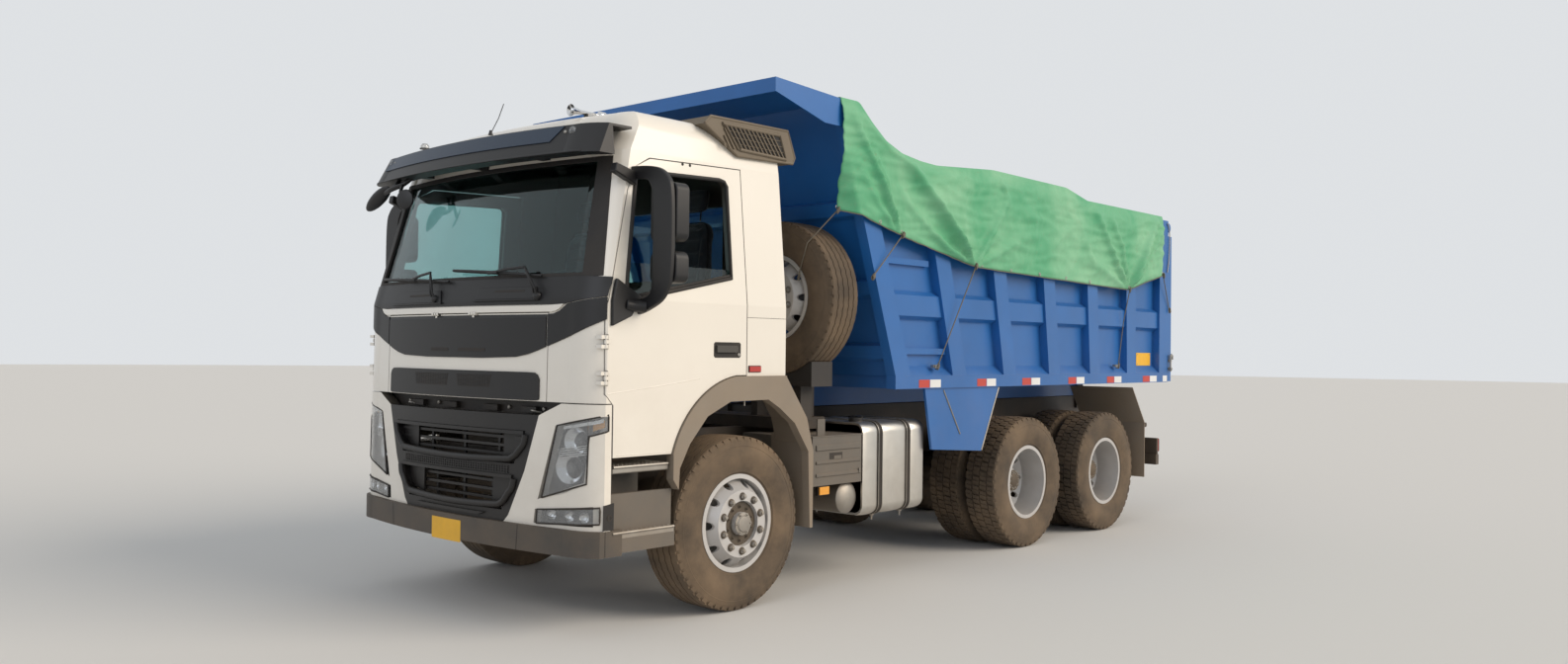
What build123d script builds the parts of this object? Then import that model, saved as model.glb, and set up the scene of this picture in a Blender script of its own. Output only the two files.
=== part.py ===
from build123d import *
from math import atan2, degrees, hypot
import os

# Three-axle tipper truck with a forward-control day cab, a ribbed steel body and a canopy over the cab.
# Millimetres. X points forward, Y to the truck's left, Z up. The origin is on the ground, under the
# middle of the overall length and width. Places along the cab and the wheels are worked out from the
# front axle, places along the body from its two end walls.

# Overall length and axles
FRONT_OVERHANG = 1290   # front axle to the bumper's face
WHEELBASE = 3440        # front axle to the first drive axle
BOGIE = 1370            # first to second drive axle
REAR_OVERHANG = 1270    # second drive axle to the tailgate's rear face
LENGTH = FRONT_OVERHANG + WHEELBASE + BOGIE + REAR_OVERHANG
FRONT = LENGTH / 2
REAR = -LENGTH / 2
AXLE_1 = FRONT - FRONT_OVERHANG
AXLE_2 = AXLE_1 - WHEELBASE
AXLE_3 = AXLE_2 - BOGIE

# Clearances
FIT = 0.3               # round or flat faces that seat on each other
MOVE = 6.0              # between pieces that move past each other
PIN_FIT = 0.5           # a pin or shaft in its bore

# Wheels: tyre 315/80 R 22.5 on ten-stud rims
TYRE_R = 538
TYRE_W = 312
TREAD_W = 262
BEAD_R = 286
LIP_R = 302
RIM_W = 254             # over both lips
RIM_WALL = 12
STUDS = 10
HUB_BORE_R = 140
FLANGE_R = 206
HAND_HOLE_R = 25
SINGLE_Y = 1072         # middle of a front tyre
TWIN_Y = 903            # where the two discs of a twin wheel meet
TWIN_SPACING = 350
SPINDLE_R = 45
SPARE_X = AXLE_1 - 965
SPARE_Y = 720
SPARE_Z = 1970

# Frame
RAIL_Y = 425            # outer face of a rail
RAIL_W = 90
RAIL_H = 300
RAIL_WEB = 9
FRAME_TOP = 1060
SUBFRAME_H = 120
SUB_TOP = FRAME_TOP + SUBFRAME_H

RAIL_FRONT = AXLE_1 + 1080
RAIL_BOTTOM_Z = FRAME_TOP - RAIL_H
SUB_FRONT = AXLE_1 - 1450
COUPLING_W = 160        # rear coupling's bolt pattern and bore
COUPLING_H = 100
COUPLING_HOLE = 21
COUPLING_BORE = 84
COUPLING_Z = FRAME_TOP - 150

# Engine, axles and springs
ENGINE_HALF = 300
GEARBOX_L = 900
SHAFT_Z = 640
BEAM_Z = 470
BOSS_R = 58
BOSS_H = 72
FORK_T = 45
FORK_Y = 992
SPRING_Y = 375
FRONT_SPRING_Z = 580
FRONT_SPRING_L = 820
HOUSING_R = 72
HOUSING_END = 560
BANJO_R = 195
BANJO_L = 330
BOGIE_X = (AXLE_2 + AXLE_3) / 2
TRUNNION_Z = 600
BOGIE_SPRING_Y = 500
DRUM_R = 210
HUB_CAP_R = 70
HAND_HOLE_PCR = 243

# Steering
KINGPIN_Y = 925
KINGPIN_R = 28
SWEPT_R = 622           # kept free round a kingpin for the steered tyre

# Cab
CAB_HALF = 1235
CAB_REAR = AXLE_1 - 383
NOSE = AXLE_1 + 1262
WALL = 48
ARCH_TOP = 1444         # lower edge of the cab's side over the wheel
NOSE_BOTTOM = 1300
FLOOR_LOW = 1380
CAB_FLOOR = 1440
BELT = 1880
ROOF_SIDE = 2740
ROOF_TOP = 2995
ROOF_ROUND = 150
DOOR_FRONT = AXLE_1 + 1085
DOOR_REAR = AXLE_1 - 22
DOOR_SILL = 1000
HATCH_TOP = 1800
HATCH_HALF = 850
PANE = 6
DOOR_TOP = ROOF_SIDE - 18
SILL_FRONT = AXLE_1 + 1030
NOSE_BOW = 87           # how far the nose falls back at its corners
CORNER_W = 215
CORNER_L = 90
# Height, how far the nose is set back, half width
CAB_LEVELS = ((DOOR_SILL, 0, CAB_HALF), (BELT, 12, CAB_HALF), (ROOF_SIDE, 222, 1155), (ROOF_TOP, 362, 1110))

# Space over a front wheel: its front leg, the bend and where it levels out
ARCH_FRONT = AXLE_1 + 588
ARCH_BEND_X = AXLE_1 + 430
ARCH_BEND_Z = 1262
ARCH_CREST = AXLE_1 + 60
ARCH_LOW = DOOR_SILL - 20
HOUSE_Y = 940           # inner face of a wheel house
HOUSE_T = 40
STEP_REAR = AXLE_1 + 600
FIREWALL_X = AXLE_1 + 1060
SCREEN = ((-1085, 2010), (1085, 2010), (1012, 2690), (-1012, 2690))
# Height, nose and half width of the sun visor's lip and top edge
VISOR_LEVELS = ((2690, AXLE_1 + 1285, 1180), (2865, AXLE_1 + 1200, 1158))
VISOR_BACK = AXLE_1 + 860
VISOR_SIDE = AXLE_1 + 1000
MIRROR_BOW = ((1160, 2640), (1400, 2612), (1500, 2500), (1500, 1990), (1390, 1850), (1225, 1795), (1225, 1870),
              (1330, 1905), (1345, 2000), (1345, 2480), (1310, 2545), (1160, 2575))
MIRROR_HOUSINGS = ((1965, 2150), (2200, 2530))
MIRROR_X = AXLE_1 + 835
MIRROR_ARM = 33
MIRROR_DEPTH = 110
# Mirror foot on the door, as (x from the door's front edge, z)
MIRROR_FOOT = ((-55, 1995), (-25, 1870), (-25, 1726), (-165, 1785), (-235, 1898))
REAR_WINDOW = ((-700, 2080), (700, 2080), (700, 2560), (-700, 2560))

# Bumper, lamp panels, steps and mudguards
BUMPER_LOW = 455
BUMPER_TOP = 600
BUMPER_BACK = AXLE_1 + 955
PANEL_BACK = AXLE_1 + 1040
LAMP_WALL = 60
GRILLE = ((-800, 1222), (-690, 900), (-560, 640), (-520, 600.3), (520, 600.3), (560, 640), (690, 900), (800, 1222))
# Open gap between the grille and the front hatch
HATCH_GAP = ((-800, 1222), (800, 1222), (985, NOSE_BOTTOM), (-985, NOSE_BOTTOM))
# Half width at the top, half width at the bottom, lower and upper edge
GRILLE_OPENINGS = ((690, 600, 935, 1130), (590, 500, 665, 870))
SLAT_FRONT = AXLE_1 + 1195
SLAT_BACK = SLAT_FRONT - 30
FRAME_BAR = SLAT_BACK - 15
TOW_SETBACK = 80
TOW_BORE = 40
TOW_DEPTH = 90
HEADLAMP = ((930, 1170), (1260, 1235), (1260, 1160), (1170, 1120), (1140, 865), (800, 750))
LOW_LAMP = ((780, 695), (1190, 735), (1190, 625), (770, 615))
STEP_Y = 960
STEP_LOW = 470
STEP_HIGH = 948
# Front mudguard's outer edge behind the cab, then its inner edge, as (x from the front axle, z)
FLARE_REAR = ((-383, 1435), (-584, 1167), (-650, 950), (-650, 450), (-622, 450))
FLARE_INNER = ((-600, 950), (-463, 1139), (-321, 1238), (-212, 1295), (124, 1290), (317, 1207), (461, 1049),
               (538, 911), (545, 790))
FLARE_Y = 1190
FLAP_X = AXLE_1 - 5560
FLAP_TOP = 950
FLAP_LOW = 430

# Fuel tank, boxes between cab and wheels, and what hangs on the right
TANK_Y0 = 560
TANK_Y1 = 1200
TANK_FRONT = AXLE_1 - 1235
TANK_REAR = AXLE_1 - 1950
TANK_LOW = 464
TANK_TOP = 1105
TANK_ROUND = 70
TANK_STRAPS = (AXLE_1 - 1430, AXLE_1 - 1760)
BOX_FRONT = AXLE_1 - 700
BOX_REAR = AXLE_1 - 1220

# Body
BODY_HALF = HALF_WIDTH = 1270
RAIL_BOTTOM = 1339
RAIL_TOP = 1430
FLOOR_T = 10
SIDE_TOP = 2930
PLATE = 12
RIB_DEPTH = 68
RIB_WIDTH = 185
RIB_COUNT = 7
FAN_LEAN = 0.355        # lean of the front post, fading to none at the rear post
CANOPY_TOP = 3330
CANOPY_REACH = AXLE_1 - 221
BODY_FRONT = AXLE_1 - 1513
GATE_T = 88
GATE_TOP = 2780
BODY_REAR = REAR + GATE_T + MOVE
HINGE_X = REAR + 330
HINGE_Z = SUB_TOP + 85
HINGE_R = 30
RUNNER_Y = 340
RUNNER_W = 80
HINGE_EYE_R = 64
PLATE_Y = BODY_HALF - RIB_DEPTH - PLATE
RIB_PITCH = 720
POST_TOP = 3288
CANOPY_REAR_Z = 3300
POST_LEAN = 0.355
GATE_LOW = 1345
FLOOR_TOP = 1430
WALL_RECESS = 70        # front wall behind the front posts' line
MID_RAIL = ((1202, 2050), (1250, 2015), (1250, 1865), (1202, 1835))
BODY_CROSS_XS = (-1640, -2200, -2760, -3320, -4280, -4840, -5400, -5900)
GATE_PIN_X = REAR + 50
GATE_PIN_Z = 2865
GATE_PIN_R = 20
TARP_T = 12
TARP_TOP = ((-1410, 3000), (-2000, 2985), (-2770, 3045), (-3940, 3035), (-4320, 2956), (-5835, 2956))
TARP_HEM = ((-5800, 2378), (-4979, 2205), (-2389, 2266), (-1444, 2439), (-800, 2533))
RAIL_REAR = HINGE_X - 80

# Hoist: lower pin on the frame, upper pin under the body, strokes of its two moving stages
HOIST_X = AXLE_1 - 4600
HOIST_Z = 780
HOIST_PIN_R = 28
HOIST_TOP_X = HOIST_X + 800
HOIST_TOP_Z = 1290
HOIST_EYE_Y = 69
HOIST_ROD_R = 40
HOIST_ANGLE = degrees(atan2(HOIST_TOP_Z - HOIST_Z, HOIST_TOP_X - HOIST_X))
HOIST_LENGTH = hypot(HOIST_TOP_Z - HOIST_Z, HOIST_TOP_X - HOIST_X)
# Each stage: first and last place along the cylinder, outer and inner radius, closed bottom
BARREL = (55, 820, 70, 57, 80)
STAGE = (90, 850, 55, 42, 110)

# Hinges of the doors and the front hatch
LEAF_R = 12
LEAF_T = 20
LEAF_PIN_R = 7
DOOR_LEAVES = (1440, 1640)
LID_LEAF_Y = 200
LID_X = AXLE_1 + 1254
LID_Z = HATCH_TOP + 3
# Middle, lower and upper face of each frame cross member
CROSS_MEMBERS = (
    (AXLE_1 + 1040, 820, 1000), (AXLE_1 - 1300, 820, 1000), (AXLE_2 + 700, 820, 1000), (BOGIE_X, 765, 880),
    (HOIST_X - 170, 740, 1000), (RAIL_REAR + 60, 820, 1000),
)
SUB_CROSS_XS = (SUB_FRONT - 60, AXLE_2 + 600, HINGE_X + 220)


def box(x0, x1, y0, y1, z0, z1, mode=Mode.ADD):
    """A block between two corners, in the open part."""
    with Locations(((x0 + x1) / 2, (y0 + y1) / 2, (z0 + z1) / 2)):
        Box(abs(x1 - x0), abs(y1 - y0), abs(z1 - z0), mode=mode)


def rod(x, y, z, radius, length, along, mode=Mode.ADD):
    """A cylinder centred on a point, its axis along X, Y or Z."""
    turn = {"X": (0, 90, 0), "Y": (90, 0, 0), "Z": (0, 0, 0)}[along]
    with Locations(Location((x, y, z), turn)):
        Cylinder(radius, length, mode=mode)


def side_plate(points, y0, y1, mode=Mode.ADD):
    """An outline given as (x, z) points, filled between two y."""
    with BuildSketch(Plane.XZ.offset(-y0)) as outline:
        with BuildLine():
            Polyline(*points, close=True)
        make_face()
    extrude(outline.sketch, amount=y0 - y1, mode=mode)


def front_plate(points, x0, x1, mode=Mode.ADD):
    """An outline given as (y, z) points, filled between two x."""
    with BuildSketch(Plane.YZ.offset(x0)) as outline:
        with BuildLine():
            Polyline(*points, close=True)
        make_face()
    extrude(outline.sketch, amount=x1 - x0, mode=mode)


def plan_face(nose, half, back):
    """The cab's outline seen from above: straight sides, round corners and a slightly bowed nose."""
    side_x, side_y = nose - NOSE_BOW, half - CORNER_W
    corner_x = side_x - CORNER_L
    bend_x, bend_y = side_x - 0.35 * CORNER_L, half - 0.36 * CORNER_W
    with BuildLine() as outline:
        Polyline((corner_x, -half), (back, -half), (back, half), (corner_x, half))
        ThreePointArc((corner_x, half), (bend_x, bend_y), (side_x, side_y))
        ThreePointArc((side_x, side_y), (nose, 0), (side_x, -side_y))
        ThreePointArc((side_x, -side_y), (bend_x, -bend_y), (corner_x, -half))
    make_face(outline.edges())


def plan_block(nose, half, back, z0, z1, mode=Mode.ADD):
    """The cab's plan outline as an upright block between two heights."""
    with BuildSketch(Plane.XY.offset(z0)) as plan:
        plan_face(nose, half, back)
    extrude(plan.sketch, amount=z1 - z0, mode=mode)


def post_x_at(z):
    """Where the front post's leaning front edge is at a height."""
    return BODY_FRONT + (z - FLOOR_TOP) * POST_LEAN


def wall_x(z):
    """Where the front wall's front face is at a height."""
    return post_x_at(z) - WALL_RECESS


def nose_shell(nose, half, back, wall, z0, z1):
    """A shell that follows the cab's nose in plan, open at the back."""
    plan_block(nose, half, back, z0, z1)
    plan_block(nose - wall, half - wall, back - wall, z0, z1, Mode.SUBTRACT)


def cab_hull(inset, nose_inset=None):
    """The cab's outer form moved inward by inset, its nose by nose_inset if given, its roof edge rounded."""
    nose_inset = inset if nose_inset is None else nose_inset
    sections = []
    for level, setback, half in CAB_LEVELS:
        top = level - inset if level == ROOF_TOP else level
        with BuildSketch(Plane.XY.offset(top)) as section:
            plan_face(NOSE - setback - nose_inset, half - inset, CAB_REAR + inset)
        sections.append(section.sketch)
    with BuildPart() as hull:
        loft(sections, ruled=True)
        fillet(hull.faces().sort_by(Axis.Z)[-1].edges(), ROOF_ROUND - inset)
    return hull.part


def arch_prism(grow, y0, y1, mode=Mode.ADD):
    """The space over a front wheel up to the cab's lower edge, made larger all round by grow."""
    front, top, rear = ARCH_FRONT + grow, ARCH_TOP + grow, CAB_REAR - 50
    with BuildSketch(Plane.XZ.offset(-y0)) as outline:
        with BuildLine():
            Polyline((ARCH_CREST, top), (rear, top), (rear, ARCH_LOW), (front, ARCH_LOW), (front, DOOR_SILL))
            ThreePointArc((front, DOOR_SILL), (ARCH_BEND_X + 0.7 * grow, ARCH_BEND_Z + 0.7 * grow),
                          (ARCH_CREST, top))
        make_face()
    extrude(outline.sketch, amount=y0 - y1, mode=mode)


def door_outline(gap):
    """The door's edge as (x, z) points, moved outward by gap."""
    return [
        (DOOR_REAR - gap, DOOR_SILL - gap), (SILL_FRONT + gap, DOOR_SILL - gap),
        (SILL_FRONT + gap, NOSE_BOTTOM - 10), (DOOR_FRONT + gap, NOSE_BOTTOM + 50),
        (DOOR_FRONT + gap, BELT - 60), (DOOR_FRONT - 190 + gap, DOOR_TOP - 210),
        (DOOR_FRONT - 262 + gap, DOOR_TOP - 75), (DOOR_FRONT - 365 + gap, DOOR_TOP - 22 + gap),
        (DOOR_REAR - gap, DOOR_TOP + gap),
    ]


def window_outline(top=0):
    """The door window's edge as (x, z) points; top cuts it off level at that height."""
    if top:
        return [(AXLE_1 + 950, BELT - 12), (AXLE_1 + 935, BELT + 120), (AXLE_1 + 911, top),
                (AXLE_1 + 105, top), (AXLE_1 + 105, BELT + 160)]
    return [
        (AXLE_1 + 950, BELT - 12), (AXLE_1 + 935, BELT + 120), (AXLE_1 + 838, ROOF_SIDE - 160),
        (AXLE_1 + 800, ROOF_SIDE - 122), (AXLE_1 + 150, ROOF_SIDE - 98), (AXLE_1 + 105, ROOF_SIDE - 135),
        (AXLE_1 + 105, BELT + 160),
    ]


def clear_sweep():
    """Cuts away what a steered front tyre passes through."""
    for side in (1, -1):
        rod(AXLE_1, side * KINGPIN_Y, TYRE_R, SWEPT_R, 2 * TYRE_R + 40, "Z", Mode.SUBTRACT)


# Frame: two channel rails joined by cross members, cab mounts, hoist lugs and the rear coupling plate
with BuildPart() as frame:
    for side in (1, -1):
        web = side * RAIL_Y
        box(RAIL_FRONT, RAIL_REAR, web, web - side * RAIL_WEB, RAIL_BOTTOM_Z, FRAME_TOP)
        for flange in (RAIL_BOTTOM_Z, FRAME_TOP - RAIL_WEB):
            box(RAIL_FRONT, RAIL_REAR, web, web - side * RAIL_W, flange, flange + RAIL_WEB)
        for mount_x in (CAB_REAR + 90, SILL_FRONT - 60):
            box(mount_x - 50, mount_x + 50, web, web - side * RAIL_W, FRAME_TOP, FLOOR_LOW)
        box(HOIST_X - 130, HOIST_X + 45, side * 75, side * 95, HOIST_Z - 50, HOIST_Z + 50)
        box(RAIL_FRONT - 60, RAIL_FRONT, web, web - side * RAIL_W, BUMPER_LOW + 15, RAIL_BOTTOM_Z)
        box(SILL_FRONT - 70, SILL_FRONT - 20, web, side * STEP_Y, RAIL_BOTTOM_Z + 10, RAIL_BOTTOM_Z + 90)
        for x in (BOX_FRONT - 60, BOX_REAR + 60):
            box(x - 25, x + 25, web, side * TANK_Y0, RAIL_BOTTOM_Z + 40, FRAME_TOP - 70)
        for x in TANK_STRAPS:
            box(x - 30, x + 30, web, side * TANK_Y0, TANK_LOW + 60, FRAME_TOP - 40)
        rod(FLAP_X - 30.3, side * (RAIL_Y + BODY_HALF - 35) / 2, FLAP_TOP - 20, 22, BODY_HALF - 35 - RAIL_Y, "Y")
    for x, low, high in CROSS_MEMBERS:
        box(x - 40, x + 40, -RAIL_Y + RAIL_WEB, RAIL_Y - RAIL_WEB, low, high)
    rod(HOIST_X, 0, HOIST_Z, HOIST_PIN_R, 190, "Y")
    box(RAIL_REAR, RAIL_REAR - 14, -RAIL_Y, RAIL_Y, RAIL_BOTTOM_Z, FRAME_TOP)
    for side in (1, -1):
        for level in (-1, 1):
            rod(RAIL_REAR, side * COUPLING_W / 2, COUPLING_Z + level * COUPLING_H / 2, COUPLING_HOLE / 2, 30,
                "X", Mode.SUBTRACT)
    rod(RAIL_REAR, 0, COUPLING_Z, COUPLING_BORE / 2, 30, "X", Mode.SUBTRACT)
frame.part.label = "frame"
export_step(frame.part, "parts/frame.step")

# Subframe on the rails, with the body's hinge brackets and pins at its rear end
with BuildPart() as subframe:
    for side in (1, -1):
        box(SUB_FRONT, HINGE_X - 90, side * RAIL_Y, side * (RAIL_Y - RAIL_W), FRAME_TOP, SUB_TOP)
        for inner_y in (RUNNER_Y - MOVE - 25, RUNNER_Y + RUNNER_W + MOVE):
            y0, y1 = side * inner_y, side * (inner_y + 25)
            box(HINGE_X - HINGE_EYE_R, HINGE_X + HINGE_EYE_R, y0, y1, FRAME_TOP, HINGE_Z)
            rod(HINGE_X, (y0 + y1) / 2, HINGE_Z, HINGE_EYE_R, 25, "Y")
        box(HINGE_X - 90, HINGE_X + HINGE_EYE_R, side * (RUNNER_Y - MOVE - 25), side * (RAIL_Y + 26),
            FRAME_TOP, SUB_TOP - 60)
        rod(HINGE_X, side * (RUNNER_Y + RUNNER_W / 2), HINGE_Z, HINGE_R, RUNNER_W + 2 * MOVE + 50, "Y")
    for x in SUB_CROSS_XS:
        box(x - 35, x + 35, -RAIL_Y + RAIL_W, RAIL_Y - RAIL_W, FRAME_TOP + 10, SUB_TOP - 10)
subframe.part.label = "subframe"
export_step(subframe.part, "parts/subframe.step")

# Engine block, gearbox and the shafts to the two drive axles, between the rails
with BuildPart() as engine:
    box(AXLE_1 - 330, AXLE_1 + 830, -ENGINE_HALF, ENGINE_HALF, RAIL_BOTTOM_Z - 150, FLOOR_LOW - 60)
    box(AXLE_1 + 890, AXLE_1 + 990, -ENGINE_HALF, ENGINE_HALF, RAIL_BOTTOM_Z - 60, FLOOR_LOW - 90)
    box(AXLE_1 + 830, AXLE_1 + 890, -60, 60, RAIL_BOTTOM_Z, FRAME_TOP)
    rod(AXLE_1 - 330 - GEARBOX_L / 2, 0, SHAFT_Z, 230, GEARBOX_L, "X")
    shaft_front, shaft_rear = AXLE_1 - 330 - GEARBOX_L, AXLE_2 + BANJO_L / 2 + 30 + FIT
    rod((shaft_front + shaft_rear) / 2, 0, SHAFT_Z, 55, shaft_front - shaft_rear, "X")
engine.part.label = "engine"
export_step(engine.part, "parts/engine.step")

# Front axle: dropped beam, kingpin bosses, spring seats and leaf springs hung from the rails
with BuildPart() as front_axle:
    half_beam = [(0, BEAM_Z - 50), (560, BEAM_Z - 50), (760, TYRE_R - 60), (KINGPIN_Y, TYRE_R - 60),
                 (KINGPIN_Y, TYRE_R + 60), (700, TYRE_R + 60), (520, BEAM_Z + 50), (0, BEAM_Z + 50)]
    front_plate(half_beam, AXLE_1 - 45, AXLE_1 + 45)
    rod(AXLE_1, KINGPIN_Y, TYRE_R, BOSS_R, 2 * BOSS_H, "Z")
    rod(AXLE_1, KINGPIN_Y, TYRE_R, KINGPIN_R + PIN_FIT, 3 * BOSS_H, "Z", Mode.SUBTRACT)
    box(AXLE_1 - 90, AXLE_1 + 90, SPRING_Y - 45, SPRING_Y + 45, BEAM_Z + 40, FRONT_SPRING_Z + 30)
    with BuildSketch(Plane.XZ.offset(-(SPRING_Y - 40))):
        with BuildLine():
            left, right, end_z = AXLE_1 - FRONT_SPRING_L, AXLE_1 + FRONT_SPRING_L, RAIL_BOTTOM_Z - 45
            ThreePointArc((left, end_z), (AXLE_1, FRONT_SPRING_Z), (right, end_z))
            Line((right, end_z), (right, end_z + 40))
            ThreePointArc((right, end_z + 40), (AXLE_1, FRONT_SPRING_Z + 60), (left, end_z + 40))
            Line((left, end_z + 40), (left, end_z))
        make_face()
    extrude(amount=-80)
    for end in (1, -1):
        box(AXLE_1 + end * (FRONT_SPRING_L - 60), AXLE_1 + end * FRONT_SPRING_L, SPRING_Y - 40, SPRING_Y + 40,
            RAIL_BOTTOM_Z - 40, RAIL_BOTTOM_Z)
    mirror(about=Plane.XZ)
front_axle.part.label = "front_axle"
export_step(front_axle.part, "parts/front_axle.step")

# Two drive axles with their banjo housings, and the bogie's leaf springs on a trunnion between them
with BuildPart() as drive_axles:
    for axle_x in (AXLE_2, AXLE_3):
        rod(axle_x, 0, TYRE_R, HOUSING_R, 2 * HOUSING_END, "Y")
        rod(axle_x, 0, TYRE_R, BANJO_R, BANJO_L, "X")
        rod(axle_x, 0, TYRE_R, SPINDLE_R, 2 * (TWIN_Y + 120), "Y")
        rod(axle_x + BANJO_L / 2, 0, SHAFT_Z, 70, 60, "X")
    rod((AXLE_2 + AXLE_3) / 2, 0, SHAFT_Z, 50, BOGIE - BANJO_L + 4, "X")
    rod(BOGIE_X, 0, TRUNNION_Z, 55, 2 * BOGIE_SPRING_Y, "Y")
    for side in (1, -1):
        y0, y1 = side * (BOGIE_SPRING_Y - 40), side * (BOGIE_SPRING_Y + 40)
        side_plate([(AXLE_3 - 120, TYRE_R + 70), (AXLE_3 + 120, TYRE_R + 70), (BOGIE_X - 120, TRUNNION_Z + 40),
                    (BOGIE_X + 120, TRUNNION_Z + 40), (AXLE_2 - 120, TYRE_R + 70),
                    (AXLE_2 + 120, TYRE_R + 70), (AXLE_2 + 120, TYRE_R + 110), (AXLE_2 - 120, TYRE_R + 120),
                    (BOGIE_X + 120, TRUNNION_Z + 150), (BOGIE_X - 120, TRUNNION_Z + 150),
                    (AXLE_3 + 120, TYRE_R + 120), (AXLE_3 - 120, TYRE_R + 110)], y0, y1)
        box(BOGIE_X - 110, BOGIE_X + 110, side * 260, side * (RAIL_Y - 10), TRUNNION_Z - 70, RAIL_BOTTOM_Z)
        rod(BOGIE_X, side * (RAIL_Y + BOGIE_SPRING_Y) / 2, TRUNNION_Z, 80, BOGIE_SPRING_Y - RAIL_Y + 60, "Y")
drive_axles.part.label = "drive_axles"
export_step(drive_axles.part, "parts/drive_axles.step")

# Steering knuckles: a fork on the kingpin, the spindle, the brake's back plate and the steering arm
for side, name in ((1, "left"), (-1, "right")):
    with BuildPart() as knuckle:
        rod(AXLE_1, side * KINGPIN_Y, TYRE_R, KINGPIN_R, 2 * (BOSS_H + MOVE + FORK_T), "Z")
        for level in (1, -1):
            z0 = TYRE_R + level * (BOSS_H + MOVE)
            z1 = z0 + level * FORK_T
            box(AXLE_1 - 60, AXLE_1 + 60, side * KINGPIN_Y, side * FORK_Y, z0, z1)
            rod(AXLE_1, side * KINGPIN_Y, (z0 + z1) / 2, 60, FORK_T, "Z")
        box(AXLE_1 - 75, AXLE_1 + 75, side * FORK_Y, side * (FORK_Y + 26), TYRE_R - BOSS_H - MOVE - FORK_T,
            TYRE_R + BOSS_H + MOVE + FORK_T)
        rod(AXLE_1, side * (FORK_Y + 26 + 5), TYRE_R, 190, 10, "Y")
        spindle_y0, spindle_y1 = FORK_Y + 20, SINGLE_Y + 75
        rod(AXLE_1, side * (spindle_y0 + spindle_y1) / 2, TYRE_R, SPINDLE_R, spindle_y1 - spindle_y0, "Y")
        arm_z = TYRE_R - BOSS_H - MOVE - FORK_T
        side_end = side * (KINGPIN_Y - 60)
        box(AXLE_1 - 230, AXLE_1 - 40, side_end - 22, side_end + 22, arm_z, arm_z + FORK_T)
    knuckle.part.label = f"knuckle_{name}"
    export_step(knuckle.part, f"parts/knuckle_{name}.step")


def tyre_ring(x, y):
    """A tyre round an axle at x, its middle at y: bead, bulging wall, shoulder and flat tread."""
    with BuildSketch(Plane.YZ.offset(x)) as section:
        with BuildLine():
            inner_z, bead = TYRE_R + BEAD_R, RIM_W / 2 - 9
            wall_z, tread_z = TYRE_R + 0.78 * TYRE_R, 2 * TYRE_R
            shoulder = TREAD_W / 2
            Line((y - bead, inner_z), (y + bead, inner_z))
            Line((y + bead, inner_z), (y + bead, inner_z + 20))
            ThreePointArc((y + bead, inner_z + 20), (y + TYRE_W / 2, wall_z), (y + shoulder + 6, tread_z - 26))
            Line((y + shoulder + 6, tread_z - 26), (y + shoulder - 20, tread_z))
            Line((y + shoulder - 20, tread_z), (y - shoulder + 20, tread_z))
            Line((y - shoulder + 20, tread_z), (y - shoulder - 6, tread_z - 26))
            ThreePointArc((y - shoulder - 6, tread_z - 26), (y - TYRE_W / 2, wall_z), (y - bead, inner_z + 20))
            Line((y - bead, inner_z + 20), (y - bead, inner_z))
        make_face()
    revolve(section.sketch, axis=Axis((x, 0, TYRE_R), (0, 1, 0)))


def ring(x, points):
    """A turned piece round an axle at x, its half section given as (y, radius) points."""
    with BuildSketch(Plane.YZ.offset(x)) as section:
        with BuildLine():
            Polyline(*[(y, TYRE_R + radius) for y, radius in points], close=True)
        make_face()
    revolve(section.sketch, axis=Axis((x, 0, TYRE_R), (0, 1, 0)))


def barrel(x, y):
    """The rim's barrel with its two lips, inside the tyre's bead."""
    bead, edge, seat = RIM_W / 2 - 9 + FIT, RIM_W / 2, BEAD_R - FIT
    inside = seat - RIM_WALL
    ring(x, [(y - edge, inside), (y + edge, inside), (y + edge, LIP_R), (y + bead, LIP_R), (y + bead, seat),
             (y - bead, seat), (y - bead, LIP_R), (y - edge, LIP_R)])


def hand_holes(x, y, length):
    """The ring of round openings in a wheel disc, cut along the axle."""
    with Locations(Location((x, y, TYRE_R), (90, 0, 0))):
        with PolarLocations(HAND_HOLE_PCR, STUDS):
            Cylinder(HAND_HOLE_R, length, mode=Mode.SUBTRACT)


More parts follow.
